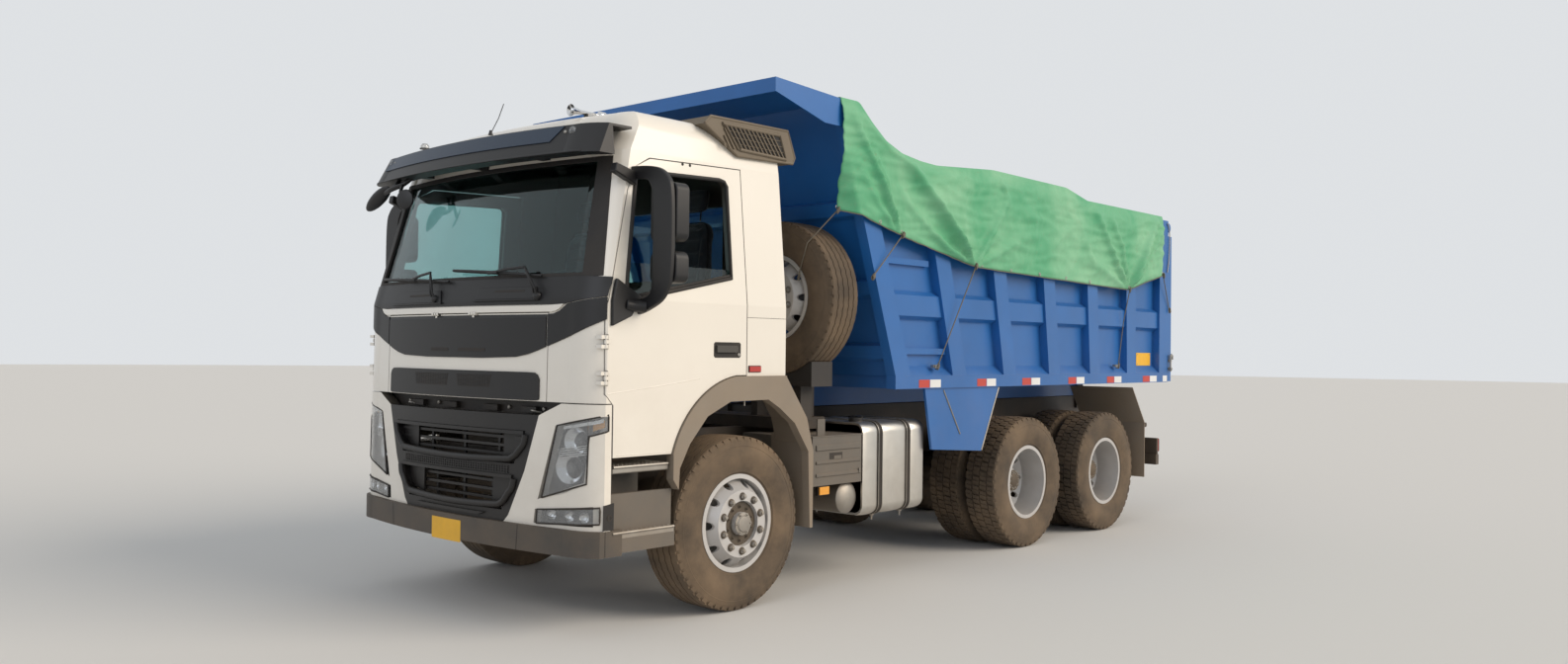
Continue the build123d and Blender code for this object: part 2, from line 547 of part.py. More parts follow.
# Front wheels: one tyre, a rim whose disc stands proud of its lip, and the hub with its drum
for side, name in ((1, "left"), (-1, "right")):
    with BuildPart() as tyre:
        tyre_ring(AXLE_1, SINGLE_Y)
        if side < 0:
            mirror(about=Plane.XZ, mode=Mode.REPLACE)
    tyre.part.label = f"tyre_front_{name}"
    export_step(tyre.part, f"parts/tyre_front_{name}.step")

    with BuildPart() as rim:
        barrel(AXLE_1, SINGLE_Y)
        face = SINGLE_Y + RIM_W / 2 + 38
        inside = BEAD_R - FIT - RIM_WALL
        ring(AXLE_1, [(SINGLE_Y + 60, inside + 2), (SINGLE_Y + 35, inside + 2), (face - 14, FLANGE_R - 4),
                      (face - 14, HUB_BORE_R), (face, HUB_BORE_R), (face, FLANGE_R)])
        hand_holes(AXLE_1, SINGLE_Y + 90, 160)
        hub_end = SINGLE_Y + 80
        ring(AXLE_1, [(SINGLE_Y - 38, SPINDLE_R + PIN_FIT), (hub_end, SPINDLE_R + PIN_FIT), (hub_end, 0),
                      (face + 6, 0), (face + 6, HUB_CAP_R), (face - 25, HUB_CAP_R), (face - 25, HUB_BORE_R - 2),
                      (face - 14, HUB_BORE_R - 2), (face - 14, FLANGE_R - 8), (face - 30, FLANGE_R - 8),
                      (face - 30, HUB_BORE_R - 20), (SINGLE_Y - 38, HUB_BORE_R - 40)])
        ring(AXLE_1, [(SINGLE_Y - 55, DRUM_R - 14), (SINGLE_Y + 20, DRUM_R - 14), (SINGLE_Y + 20, HUB_BORE_R - 50),
                      (SINGLE_Y + 34, HUB_BORE_R - 50), (SINGLE_Y + 34, DRUM_R), (SINGLE_Y - 55, DRUM_R)])
        if side < 0:
            mirror(about=Plane.XZ, mode=Mode.REPLACE)
    rim.part.label = f"rim_front_{name}"
    export_step(rim.part, f"parts/rim_front_{name}.step")

# Drive wheels: two tyres on two rims whose discs are bolted together on one hub
TWIN_OUT = TWIN_Y + TWIN_SPACING / 2
TWIN_IN = TWIN_Y - TWIN_SPACING / 2
for axle_x, axle in ((AXLE_2, "mid"), (AXLE_3, "rear")):
    for side, name in ((1, "left"), (-1, "right")):
        with BuildPart() as tyre:
            tyre_ring(axle_x, TWIN_OUT)
            tyre_ring(axle_x, TWIN_IN)
            if side < 0:
                mirror(about=Plane.XZ, mode=Mode.REPLACE)
        tyre.part.label = f"tyres_{axle}_{name}"
        export_step(tyre.part, f"parts/tyres_{axle}_{name}.step")

        with BuildPart() as rim:
            barrel(axle_x, TWIN_OUT)
            barrel(axle_x, TWIN_IN)
            inside = BEAD_R - FIT - RIM_WALL
            for way, middle in ((1, TWIN_OUT), (-1, TWIN_IN)):
                seat = TWIN_Y
                ring(axle_x, [(middle - way * 85, inside + 2), (middle - way * 110, inside + 2),
                              (seat, FLANGE_R), (seat, HUB_BORE_R - 4), (seat + way * 14, HUB_BORE_R - 4),
                              (seat + way * 14, FLANGE_R + 4)])
            hand_holes(axle_x, TWIN_Y, 220)
            cap_y = TWIN_Y + 165
            ring(axle_x, [(TWIN_Y - 120, SPINDLE_R + PIN_FIT), (TWIN_Y + 125, SPINDLE_R + PIN_FIT),
                          (TWIN_Y + 125, 0), (cap_y, 0), (cap_y, HUB_CAP_R), (TWIN_Y + 120, HUB_BORE_R - 20),
                          (TWIN_Y + 20, HUB_BORE_R - 4), (TWIN_Y - 30, HUB_BORE_R - 4),
                          (TWIN_Y - 120, HUB_BORE_R - 40)])
            ring(axle_x, [(TWIN_Y - 230, DRUM_R - 14), (TWIN_Y - 44, DRUM_R - 14), (TWIN_Y - 44, HUB_BORE_R - 36),
                          (TWIN_Y - 30, HUB_BORE_R - 36), (TWIN_Y - 30, DRUM_R), (TWIN_Y - 230, DRUM_R)])
            if side < 0:
                mirror(about=Plane.XZ, mode=Mode.REPLACE)
        rim.part.label = f"rims_{axle}_{name}"
        export_step(rim.part, f"parts/rims_{axle}_{name}.step")

# Spare wheel: a tyre and rim like the front ones, turned to face forward behind the cab
with BuildPart() as loose_tyre:
    tyre_ring(0, 0)

with BuildPart() as loose_rim:
    barrel(0, 0)
    spare_in = BEAD_R - FIT - RIM_WALL
    ring(0, [(60, spare_in + 2), (35, spare_in + 2), (151, FLANGE_R - 4), (151, HUB_BORE_R), (165, HUB_BORE_R),
             (165, FLANGE_R)])
    hand_holes(0, 90, 160)

SPARE_PLACE = Location((SPARE_X, SPARE_Y, SPARE_Z), (0, 0, -90)) * Location((0, 0, -TYRE_R))

with BuildPart() as spare_tyre:
    add(loose_tyre.part.moved(SPARE_PLACE))
spare_tyre.part.label = "spare_tyre"
export_step(spare_tyre.part, "parts/spare_tyre.step")

with BuildPart() as spare_rim:
    add(loose_rim.part.moved(SPARE_PLACE))
spare_rim.part.label = "spare_rim"
export_step(spare_rim.part, "parts/spare_rim.step")

# Carrier: a cross beam on the rails, a post behind the spare wheel with a boss, and a cradle under the tread
with BuildPart() as spare_carrier:
    post_x = SPARE_X - TYRE_W / 2 - 10
    box(SPARE_X - 110, SPARE_X + 110, SPARE_Y - 330, SPARE_Y + 330, FRAME_TOP + 300, FRAME_TOP + 470)
    rod(SPARE_X, SPARE_Y, SPARE_Z, TYRE_R + FIT, TYRE_W + 10, "X", Mode.SUBTRACT)
    box(post_x - 45, SPARE_X + 120, -RAIL_Y, SPARE_Y + 180, FRAME_TOP, FRAME_TOP + 80)
    box(post_x - 45, post_x, SPARE_Y - 80, SPARE_Y + 80, FRAME_TOP, SPARE_Z + 70)
    for y in (SPARE_Y - 250, SPARE_Y + 160):
        box(SPARE_X - 60, SPARE_X + 60, y - 30, y + 30, FRAME_TOP + 60, FRAME_TOP + 310)
    rod((post_x + SPARE_X + 140) / 2, SPARE_Y, SPARE_Z, 55, SPARE_X + 140 - post_x, "X")
    rod(SPARE_X + 145, SPARE_Y, SPARE_Z, HUB_BORE_R + 30, 11.4, "X")
spare_carrier.part.label = "spare_carrier"
export_step(spare_carrier.part, "parts/spare_carrier.step")

# Bumper: follows the nose in plan, with two tow jaws bored for a pin
with BuildPart() as bumper:
    nose_shell(FRONT, CAB_HALF, BUMPER_BACK, 70, BUMPER_LOW, BUMPER_TOP)
    box(BUMPER_BACK - 80, BUMPER_BACK, -CAB_HALF, CAB_HALF, BUMPER_LOW, BUMPER_TOP, Mode.SUBTRACT)
    for side in (1, -1):
        box(RAIL_FRONT, FRONT - 50, side * (RAIL_Y - RAIL_W), side * RAIL_Y, BUMPER_LOW + 15, BUMPER_TOP - 15)
    for side in (1, -1):
        rod(FRONT - TOW_SETBACK - 40, side * (RAIL_Y - 45), BUMPER_LOW, TOW_BORE / 2, 2 * TOW_DEPTH + 30, "Z",
            Mode.SUBTRACT)
    clear_sweep()
bumper.part.label = "bumper"
export_step(bumper.part, "parts/bumper.step")

# Nose forms the panels below are cut from: the band under the cab and each panel's own outline
with BuildPart() as nose_band:
    nose_shell(NOSE, CAB_HALF, PANEL_BACK, LAMP_WALL, BUMPER_TOP + FIT, NOSE_BOTTOM - MOVE)
    box(PANEL_BACK - 100, PANEL_BACK, -CAB_HALF, CAB_HALF, BUMPER_TOP, NOSE_BOTTOM, Mode.SUBTRACT)
    clear_sweep()

with BuildPart() as grille_region:
    front_plate(GRILLE, AXLE_1 + 1000, FRONT)

with BuildPart() as lamp_region:
    for side in (1, -1):
        front_plate([(side * y, z) for y, z in HEADLAMP], AXLE_1 + 1055, FRONT)
        front_plate([(side * y, z) for y, z in LOW_LAMP], AXLE_1 + 1055, FRONT)

# Grille: the nose between the lamp panels with two wide openings crossed by slats
with BuildPart() as grille:
    add(nose_band.part)
    add(grille_region.part, mode=Mode.INTERSECT)
    for half_top, half_low, low, high in GRILLE_OPENINGS:
        front_plate([(-half_low, low), (half_low, low), (half_top, high), (-half_top, high)],
                    AXLE_1 + 1100, FRONT, Mode.SUBTRACT)
    for half_top, half_low, low, high in GRILLE_OPENINGS:
        for share in (0.25, 0.5, 0.75):
            z = low + share * (high - low)
            half = half_low + share * (half_top - half_low)
            box(SLAT_BACK, SLAT_FRONT, -half, half, z - 8, z + 8)
        for share in (-0.6, 0, 0.6):
            box(FRAME_BAR, SLAT_BACK, share * half_low - 10, share * half_low + 10, low - 10, high + 10)
    box(FRAME_BAR, SLAT_FRONT, -RAIL_Y, RAIL_Y, 896, 910)
    for side in (1, -1):
        box(RAIL_FRONT, FRAME_BAR, side * (RAIL_Y - 60), side * RAIL_Y, 880, 925)
        box(FRAME_BAR, SLAT_FRONT, side * (RAIL_Y - 60), side * RAIL_Y, 880, 925)
grille.part.label = "grille"
export_step(grille.part, "parts/grille.step")

# Painted panels that hold the lamps
with BuildPart() as lamp_panels:
    add(nose_band.part)
    add(grille_region.part, mode=Mode.SUBTRACT)
    add(lamp_region.part, mode=Mode.SUBTRACT)
    front_plate(HATCH_GAP, PANEL_BACK - 10, FRONT, Mode.SUBTRACT)
lamp_panels.part.label = "lamp_panels"
export_step(lamp_panels.part, "parts/lamp_panels.step")

# Head lamps and the lower lamps
with BuildPart() as headlamps:
    add(nose_band.part)
    add(lamp_region.part, mode=Mode.INTERSECT)
headlamps.part.label = "headlamps"
export_step(headlamps.part, "parts/headlamps.step")

# Entry steps, two a side, on a back plate
with BuildPart() as steps:
    for side in (1, -1):
        box(AXLE_1 + 560, SILL_FRONT, side * STEP_Y, side * (CAB_HALF - 2), STEP_LOW, STEP_LOW + 115)
        box(AXLE_1 + 560, SILL_FRONT, side * (CAB_HALF - 65), side * (CAB_HALF - 35), STEP_LOW + 115,
            STEP_LOW + 325)
        box(AXLE_1 + 600, SILL_FRONT - 10, side * STEP_Y, side * (CAB_HALF - 20), STEP_HIGH - 39, STEP_HIGH)
        box(AXLE_1 + 560, SILL_FRONT, side * STEP_Y, side * (STEP_Y + 15), STEP_LOW + 115, STEP_HIGH)
        box(SILL_FRONT - 20, SILL_FRONT, side * STEP_Y, side * (CAB_HALF - 35), STEP_LOW + 115, STEP_HIGH)
    clear_sweep()
    box(BUMPER_BACK - FIT, FRONT, -CAB_HALF, CAB_HALF, BUMPER_LOW, BUMPER_TOP, Mode.SUBTRACT)
steps.part.label = "steps"
export_step(steps.part, "parts/steps.step")


def flare(y0, y1):
    """The arch over a front wheel, from its front leg over the top to the flap behind the wheel."""
    outer = [(AXLE_1 + x, z) for x, z in FLARE_REAR]
    inner = [(AXLE_1 + x, z) for x, z in FLARE_INNER]
    with BuildSketch(Plane.XZ.offset(-y0)) as outline:
        with BuildLine():
            ThreePointArc((ARCH_FRONT, DOOR_SILL), (ARCH_BEND_X, ARCH_BEND_Z), (ARCH_CREST, ARCH_TOP))
            Polyline((ARCH_CREST, ARCH_TOP), (CAB_REAR, ARCH_TOP), *outer, *inner, (ARCH_FRONT, 850),
                     (ARCH_FRONT, DOOR_SILL))
        make_face()
    extrude(outline.sketch, amount=y0 - y1)


# Mudguards: an arch over each front wheel with its flap, and flaps behind the last axle
with BuildPart() as mudguards:
    for side in (1, -1):
        flare(side * FLARE_Y, side * (CAB_HALF + 15))
        box(AXLE_1 - 650, AXLE_1 - 622, side * 900, side * FLARE_Y, 450, 1050)
        strip = [(x, z) for x, z in FLARE_REAR[:3]] + [(x + 10, z - 10) for x, z in FLARE_REAR[2::-1]]
        side_plate([(AXLE_1 + x, z) for x, z in strip], side * (HOUSE_Y + 2), side * FLARE_Y)
        flap = [(260, 1290), (0, FLAP_TOP), (0, FLAP_LOW), (-8, FLAP_LOW), (-8, FLAP_TOP + 3), (252, 1294)]
        side_plate([(FLAP_X + x, z) for x, z in flap], side * 580, side * (BODY_HALF - 35))
mudguards.part.label = "mudguards"
export_step(mudguards.part, "parts/mudguards.step")

# Fuel tank with rounded long edges
with BuildPart() as fuel_tank:
    with BuildSketch(Plane.YZ.offset(TANK_REAR)):
        with Locations(((TANK_Y0 + TANK_Y1) / 2, (TANK_LOW + TANK_TOP) / 2)):
            RectangleRounded(TANK_Y1 - TANK_Y0, TANK_TOP - TANK_LOW, TANK_ROUND)
    extrude(amount=TANK_FRONT - TANK_REAR)
    fillet(fuel_tank.faces().sort_by(Axis.X)[-1].edges(), 14)
    fillet(fuel_tank.faces().sort_by(Axis.X)[0].edges(), 14)
    rod(TANK_FRONT - 80, TANK_Y1 - 130, TANK_TOP + 14, 45, 40, "Z")
fuel_tank.part.label = "fuel_tank"
export_step(fuel_tank.part, "parts/fuel_tank.step")

# Two steel straps round the tank, open on its inner side
with BuildPart() as tank_straps:
    for x in TANK_STRAPS:
        for grow, mode in ((4 + FIT, Mode.ADD), (FIT, Mode.SUBTRACT)):
            with BuildSketch(Plane.YZ.offset(x - 25)):
                with Locations(((TANK_Y0 + TANK_Y1) / 2, (TANK_LOW + TANK_TOP) / 2)):
                    RectangleRounded(TANK_Y1 - TANK_Y0 + 2 * grow, TANK_TOP - TANK_LOW + 2 * grow,
                                     TANK_ROUND + grow)
            extrude(amount=50, mode=mode)
        box(x - 30, x + 30, TANK_Y0 - 10, TANK_Y0 + 20, TANK_LOW - 10, TANK_TOP + 10, Mode.SUBTRACT)
tank_straps.part.label = "tank_straps"
export_step(tank_straps.part, "parts/tank_straps.step")

# Boxes on the frame's sides: battery box and air tank on the left, silencer and a second box on the right
with BuildPart() as side_boxes:
    box(BOX_REAR, BOX_FRONT, TANK_Y0, TANK_Y1, 705, 1030)
    rod(BOX_REAR + 110, 870, 598, 107, 560, "Y")
    box(AXLE_1 - 1500, AXLE_1 - 690, -TANK_Y0, -TANK_Y1 + 20, 480, 1010)
    box(TANK_REAR, AXLE_1 - 1560, -TANK_Y0, -TANK_Y1 + 20, 560, 1010)
side_boxes.part.label = "side_boxes"
export_step(side_boxes.part, "parts/side_boxes.step")

# Bar under the tail with its brackets, and the tail lamps on it
with BuildPart() as rear_bar:
    box(REAR + 80, REAR + 140, -1180, 1180, 520, 620)
    for side in (1, -1):
        box(REAR + 140, RAIL_REAR - 14, side * (RAIL_Y - RAIL_W), side * RAIL_Y, 540, 900)
        box(REAR + 95, REAR + 125, side * 880, side * 1180, 620, 780)
rear_bar.part.label = "rear_bar"
export_step(rear_bar.part, "parts/rear_bar.step")

with BuildPart() as tail_lamps:
    for side in (1, -1):
        box(REAR + 60, REAR + 95, side * 890, side * 1170, 650, 770)
tail_lamps.part.label = "tail_lamps"
export_step(tail_lamps.part, "parts/tail_lamps.step")

# Cab: outer form, the form inside its walls, the forms inside its hatch and doors, and one that clears it
outer = cab_hull(0)
inner = cab_hull(WALL)
hatch_skin = cab_hull(WALL - MOVE)
door_skin = cab_hull(WALL - MOVE, -MOVE)
clear_of_cab = cab_hull(-MOVE)

# Air inside the cab: wheel houses, step wells, floor and firewall stay solid
with BuildPart() as cavity:
    add(inner)
    box(CAB_REAR, NOSE, -CAB_HALF, CAB_HALF, FLOOR_LOW, CAB_FLOOR, Mode.SUBTRACT)
    for side in (1, -1):
        arch_prism(HOUSE_T, side * (HOUSE_Y - HOUSE_T), side * CAB_HALF, Mode.SUBTRACT)
        box(STEP_REAR, SILL_FRONT, side * (HOUSE_Y - HOUSE_T), side * CAB_HALF, DOOR_SILL, CAB_FLOOR,
            Mode.SUBTRACT)
        box(STEP_REAR + HOUSE_T, SILL_FRONT - HOUSE_T, side * HOUSE_Y, side * (CAB_HALF - WALL),
            DOOR_SILL + HOUSE_T, CAB_FLOOR)
    box(FIREWALL_X, FIREWALL_X + HOUSE_T, -CAB_HALF, CAB_HALF, FLOOR_LOW, BELT + 60, Mode.SUBTRACT)

with BuildPart() as cab_all:
    add(outer)
    add(cavity.part, mode=Mode.SUBTRACT)
    box(SILL_FRONT + MOVE, FRONT, -CAB_HALF, CAB_HALF, ARCH_LOW, NOSE_BOTTOM, Mode.SUBTRACT)
    box(CAB_REAR - 10, AXLE_1 + 400, -HOUSE_Y, HOUSE_Y, ARCH_LOW, FLOOR_LOW, Mode.SUBTRACT)
    for side in (1, -1):
        arch_prism(0, side * (HOUSE_Y - 1), side * (CAB_HALF + 10), Mode.SUBTRACT)

# What is cut out of the cab's skin: both doors, the front hatch, the windscreen and the rear window
with BuildPart() as cab_regions:
    for side in (1, -1):
        side_plate(door_outline(MOVE), side * 1000, side * (CAB_HALF + 10))
    box(FIREWALL_X, FRONT, -HATCH_HALF - MOVE, HATCH_HALF + MOVE, NOSE_BOTTOM - 10, HATCH_TOP + MOVE)
    front_plate(SCREEN, FIREWALL_X - 400, FRONT)
    front_plate(REAR_WINDOW, CAB_REAR - 10, CAB_REAR + WALL + 10)

with BuildPart() as cab_openings:
    add(outer)
    add(inner, mode=Mode.SUBTRACT)
    add(cab_regions.part, mode=Mode.INTERSECT)

# Cab shell: floor, walls, pillars, wheel houses and step wells, with the hinge leaves of doors and hatch
with BuildPart() as cab_shell:
    add(cab_all.part)
    box(CAB_REAR - 10, FRONT, -CAB_HALF, CAB_HALF, ROOF_SIDE, ROOF_TOP + 10, Mode.SUBTRACT)
    add(cab_openings.part, mode=Mode.SUBTRACT)
    for side in (1, -1):
        hinge_x, hinge_y = DOOR_FRONT + MOVE / 2, side * CAB_HALF
        for z in DOOR_LEAVES:
            rod(hinge_x, hinge_y, z, LEAF_R + 5, 2 * LEAF_T + MOVE, "Z", Mode.SUBTRACT)
            for way in (1, -1):
                z0, z1 = z + way * (LEAF_T / 2 + MOVE), z + way * (1.5 * LEAF_T + MOVE)
                rod(hinge_x, hinge_y, (z0 + z1) / 2, LEAF_R, LEAF_T, "Z")
                box(hinge_x, hinge_x + 34, hinge_y - side * 45, hinge_y + side * 3, z0, z1)
            rod(hinge_x, hinge_y, z, LEAF_PIN_R, 3 * LEAF_T + 2 * MOVE, "Z")
        lid_y = side * LID_LEAF_Y
        rod(LID_X, lid_y, LID_Z, LEAF_R + 5, 2 * LEAF_T + MOVE, "Y", Mode.SUBTRACT)
        for way in (1, -1):
            y0, y1 = lid_y + way * (LEAF_T / 2 + MOVE), lid_y + way * (1.5 * LEAF_T + MOVE)
            rod(LID_X, (y0 + y1) / 2, LID_Z, LEAF_R, LEAF_T, "Y")
            box(LID_X - 9, LID_X, y0, y1, LID_Z, LID_Z + 34)
        rod(LID_X, lid_y, LID_Z, LEAF_PIN_R, 3 * LEAF_T + 2 * MOVE, "Y")
cab_shell.part.label = "cab_shell"
export_step(cab_shell.part, "parts/cab_shell.step")

with BuildPart() as cab_roof:
    add(cab_all.part)
    box(CAB_REAR - 10, FRONT, -CAB_HALF, CAB_HALF, ARCH_LOW, ROOF_SIDE, Mode.SUBTRACT)
cab_roof.part.label = "cab_roof"
export_step(cab_roof.part, "parts/cab_roof.step")

# Panes follow the cab's skin, a little inside it
pane_out = cab_hull(12)
pane_in = cab_hull(12 + PANE)

with BuildPart() as pane_layer:
    add(pane_out)
    add(pane_in, mode=Mode.SUBTRACT)

with BuildPart() as screen_region:
    front_plate(SCREEN, FIREWALL_X - 400, FRONT)
    front_plate(REAR_WINDOW, CAB_REAR - 10, CAB_REAR + WALL + 10)

with BuildPart() as cab_glass:
    add(pane_layer.part)
    add(screen_region.part, mode=Mode.INTERSECT)
cab_glass.part.label = "cab_glass"
export_step(cab_glass.part, "parts/cab_glass.step")

# Doors: the skin inside the door's outline, less its window and the wheel arch, with its hinge leaves
for side, name, glass_top in ((1, "left", 2090), (-1, "right", 0)):
    with BuildPart() as door_region:
        side_plate(door_outline(0), side * 1000, side * (CAB_HALF + 10))
        side_plate(window_outline(), side * 990, side * (CAB_HALF + 20), Mode.SUBTRACT)
        arch_prism(MOVE, side * 990, side * (CAB_HALF + 20), Mode.SUBTRACT)
    with BuildPart() as door:
        add(outer)
        add(door_skin, mode=Mode.SUBTRACT)
        add(door_region.part, mode=Mode.INTERSECT)
        hinge_x, hinge_y = DOOR_FRONT + MOVE / 2, side * CAB_HALF
        for z in DOOR_LEAVES:
            rod(hinge_x, hinge_y, z, LEAF_R + 5, 3 * LEAF_T + 4 * MOVE, "Z", Mode.SUBTRACT)
            rod(hinge_x, hinge_y, z, LEAF_R, LEAF_T, "Z")
            box(hinge_x - 34, hinge_x, hinge_y - side * 9, hinge_y + side * 3, z - LEAF_T / 2, z + LEAF_T / 2)
            rod(hinge_x, hinge_y, z, LEAF_PIN_R + PIN_FIT, 3 * LEAF_T, "Z", Mode.SUBTRACT)
    door.part.label = f"door_{name}"
    export_step(door.part, f"parts/door_{name}.step")

    with BuildPart() as glass_region:
        side_plate(window_outline(glass_top), side * 990, side * (CAB_HALF + 20))
    with BuildPart() as door_glass:
        add(pane_layer.part)
        add(glass_region.part, mode=Mode.INTERSECT)
    door_glass.part.label = f"door_glass_{name}"
    export_step(door_glass.part, f"parts/door_glass_{name}.step")

    with BuildPart() as mirror_foot:
        side_plate([(DOOR_FRONT + x, z) for x, z in MIRROR_FOOT], side * (CAB_HALF - 40), side * (CAB_HALF + 23))
        add(outer, mode=Mode.SUBTRACT)
    with BuildPart() as mirror_set:
        front_plate([(side * y, z) for y, z in MIRROR_BOW], MIRROR_X, MIRROR_X + MIRROR_ARM)
        arm_x = MIRROR_X + MIRROR_ARM
        side_plate([(arm_x, 2530), (arm_x, 2600), (arm_x + 142, 2640), (arm_x + 152, 2590)],
                   side * (CAB_HALF - 85), side * (CAB_HALF - 20))
        for low, high in MIRROR_HOUSINGS:
            box(MIRROR_X - MIRROR_DEPTH, MIRROR_X, side * 1290, side * 1515, low, high)
        for z in (2070, 2400):
            box(MIRROR_X - 35, arm_x, side * 1300, side * 1400, z - 25, z + 25)
        add(clear_of_cab, mode=Mode.SUBTRACT)
        add(mirror_foot.part)
    mirror_set.part.label = f"mirror_{name}"
    export_step(mirror_set.part, f"parts/mirror_{name}.step")

# Front hatch under the windscreen, hinged along its top edge
with BuildPart() as hatch_region:
    box(FIREWALL_X, FRONT, -HATCH_HALF, HATCH_HALF, NOSE_BOTTOM, HATCH_TOP)

with BuildPart() as front_hatch:
    add(outer)
    add(hatch_skin, mode=Mode.SUBTRACT)
    add(hatch_region.part, mode=Mode.INTERSECT)
    for side in (1, -1):
        lid_y = side * LID_LEAF_Y
        rod(LID_X, lid_y, LID_Z, LEAF_R + 5, 3 * LEAF_T + 4 * MOVE, "Y", Mode.SUBTRACT)
        rod(LID_X, lid_y, LID_Z, LEAF_R, LEAF_T, "Y")
        box(LID_X - 9, LID_X, lid_y - LEAF_T / 2, lid_y + LEAF_T / 2, LID_Z - 34, LID_Z)
        rod(LID_X, lid_y, LID_Z, LEAF_PIN_R + PIN_FIT, 3 * LEAF_T, "Y", Mode.SUBTRACT)
front_hatch.part.label = "front_hatch"
export_step(front_hatch.part, "parts/front_hatch.step")

# Sun visor: a hollow hood over the windscreen that meets the roof
with BuildPart() as sun_visor:
    sections = []
    for level, nose, half in VISOR_LEVELS:
        with BuildSketch(Plane.XY.offset(level)) as section:
            plan_face(nose, half, VISOR_BACK)
        sections.append(section.sketch)
    loft(sections, ruled=True)
    plan_block(NOSE - 90, 1150, VISOR_BACK - 10, VISOR_LEVELS[0][0], VISOR_LEVELS[1][0] - 14, Mode.SUBTRACT)
    for side in (1, -1):
        box(VISOR_BACK - 10, VISOR_SIDE, side * 1095, side * CAB_HALF, 2600, VISOR_LEVELS[1][0] - 14, Mode.SUBTRACT)
    add(outer, mode=Mode.SUBTRACT)
sun_visor.part.label = "sun_visor"
export_step(sun_visor.part, "parts/sun_visor.step")

# Air intake on the roof's left rear corner
with BuildPart() as air_intake:
    intake = ((287, 2973), (244, 3025), (-461, 3032), (-533, 2863), (-514, 2821), (4, 2807))
    side_plate([(AXLE_1 + x, z) for x, z in intake], 900, 1165)
    add(outer, mode=Mode.SUBTRACT)
air_intake.part.label = "air_intake"
export_step(air_intake.part, "parts/air_intake.step")

# Inside the cab: dashboard with the steering wheel on its column, and two seats
with BuildPart() as dashboard:
    side_plate([(FIREWALL_X, 1560), (FIREWALL_X, BELT + 60), (FIREWALL_X - 120, BELT + 70),
                (FIREWALL_X - 260, BELT - 30), (FIREWALL_X - 240, 1640), (FIREWALL_X - 120, 1560)], -1100, 1100)
    wheel_place = Location((AXLE_1 + 700, 560, 1930), (0, -35, 0))
    with Locations(wheel_place):
        Torus(215, 15)
        Box(410, 26, 16)
        Box(26, 410, 16)
        Cylinder(55, 40)
    with Locations(wheel_place * Location((0, 0, -150))):
        Cylinder(38, 300)
dashboard.part.label = "dashboard"
export_step(dashboard.part, "parts/dashboard.step")

with BuildPart() as seats:
    for y in (560, -560):
        box(AXLE_1 - 110, AXLE_1 + 330, y - 170, y + 170, CAB_FLOOR, CAB_FLOOR + 240)
        box(AXLE_1 - 160, AXLE_1 + 370, y - 250, y + 250, CAB_FLOOR + 240, CAB_FLOOR + 400)
        side_plate([(AXLE_1 - 160, CAB_FLOOR + 400), (AXLE_1 - 20, CAB_FLOOR + 400),
                    (AXLE_1 - 150, CAB_FLOOR + 1060), (AXLE_1 - 260, CAB_FLOOR + 1060),
                    (AXLE_1 - 290, CAB_FLOOR + 700)], y - 240, y + 240)
        box(AXLE_1 - 265, AXLE_1 - 165, y - 130, y + 130, CAB_FLOOR + 1060, CAB_FLOOR + 1240)
seats.part.label = "seats"
export_step(seats.part, "parts/seats.step")

# Body floor: plate, cross members, the two runners that rest on the subframe, and the hoist's upper lugs
with BuildPart() as body_floor:
    box(BODY_REAR, wall_x(FLOOR_TOP) - 10, -PLATE_Y, PLATE_Y, FLOOR_TOP - FLOOR_T, FLOOR_TOP)
    for x in BODY_CROSS_XS:
        box(AXLE_1 + x - 40, AXLE_1 + x + 40, -PLATE_Y, PLATE_Y, RAIL_BOTTOM, FLOOR_TOP - FLOOR_T)
    for side in (1, -1):
        y0, y1 = side * RUNNER_Y, side * (RUNNER_Y + RUNNER_W)
        box(HINGE_X, wall_x(FLOOR_TOP) - 10, y0, y1, SUB_TOP + MOVE, FLOOR_TOP - FLOOR_T)
        rod(HINGE_X, (y0 + y1) / 2, HINGE_Z, HINGE_Z - SUB_TOP - MOVE, RUNNER_W, "Y")
        box(BODY_REAR + 60, HINGE_X, y0, y1, HINGE_Z + 40, FLOOR_TOP - FLOOR_T)
        rod(HINGE_X, (y0 + y1) / 2, HINGE_Z, HINGE_R + PIN_FIT, RUNNER_W + 20, "Y", Mode.SUBTRACT)
        box(HOIST_TOP_X - 120, HOIST_TOP_X + 120, side * 76, side * 96, HOIST_TOP_Z - 50, FLOOR_TOP - FLOOR_T)
body_floor.part.label = "body_floor"
export_step(body_floor.part, "parts/body_floor.step")

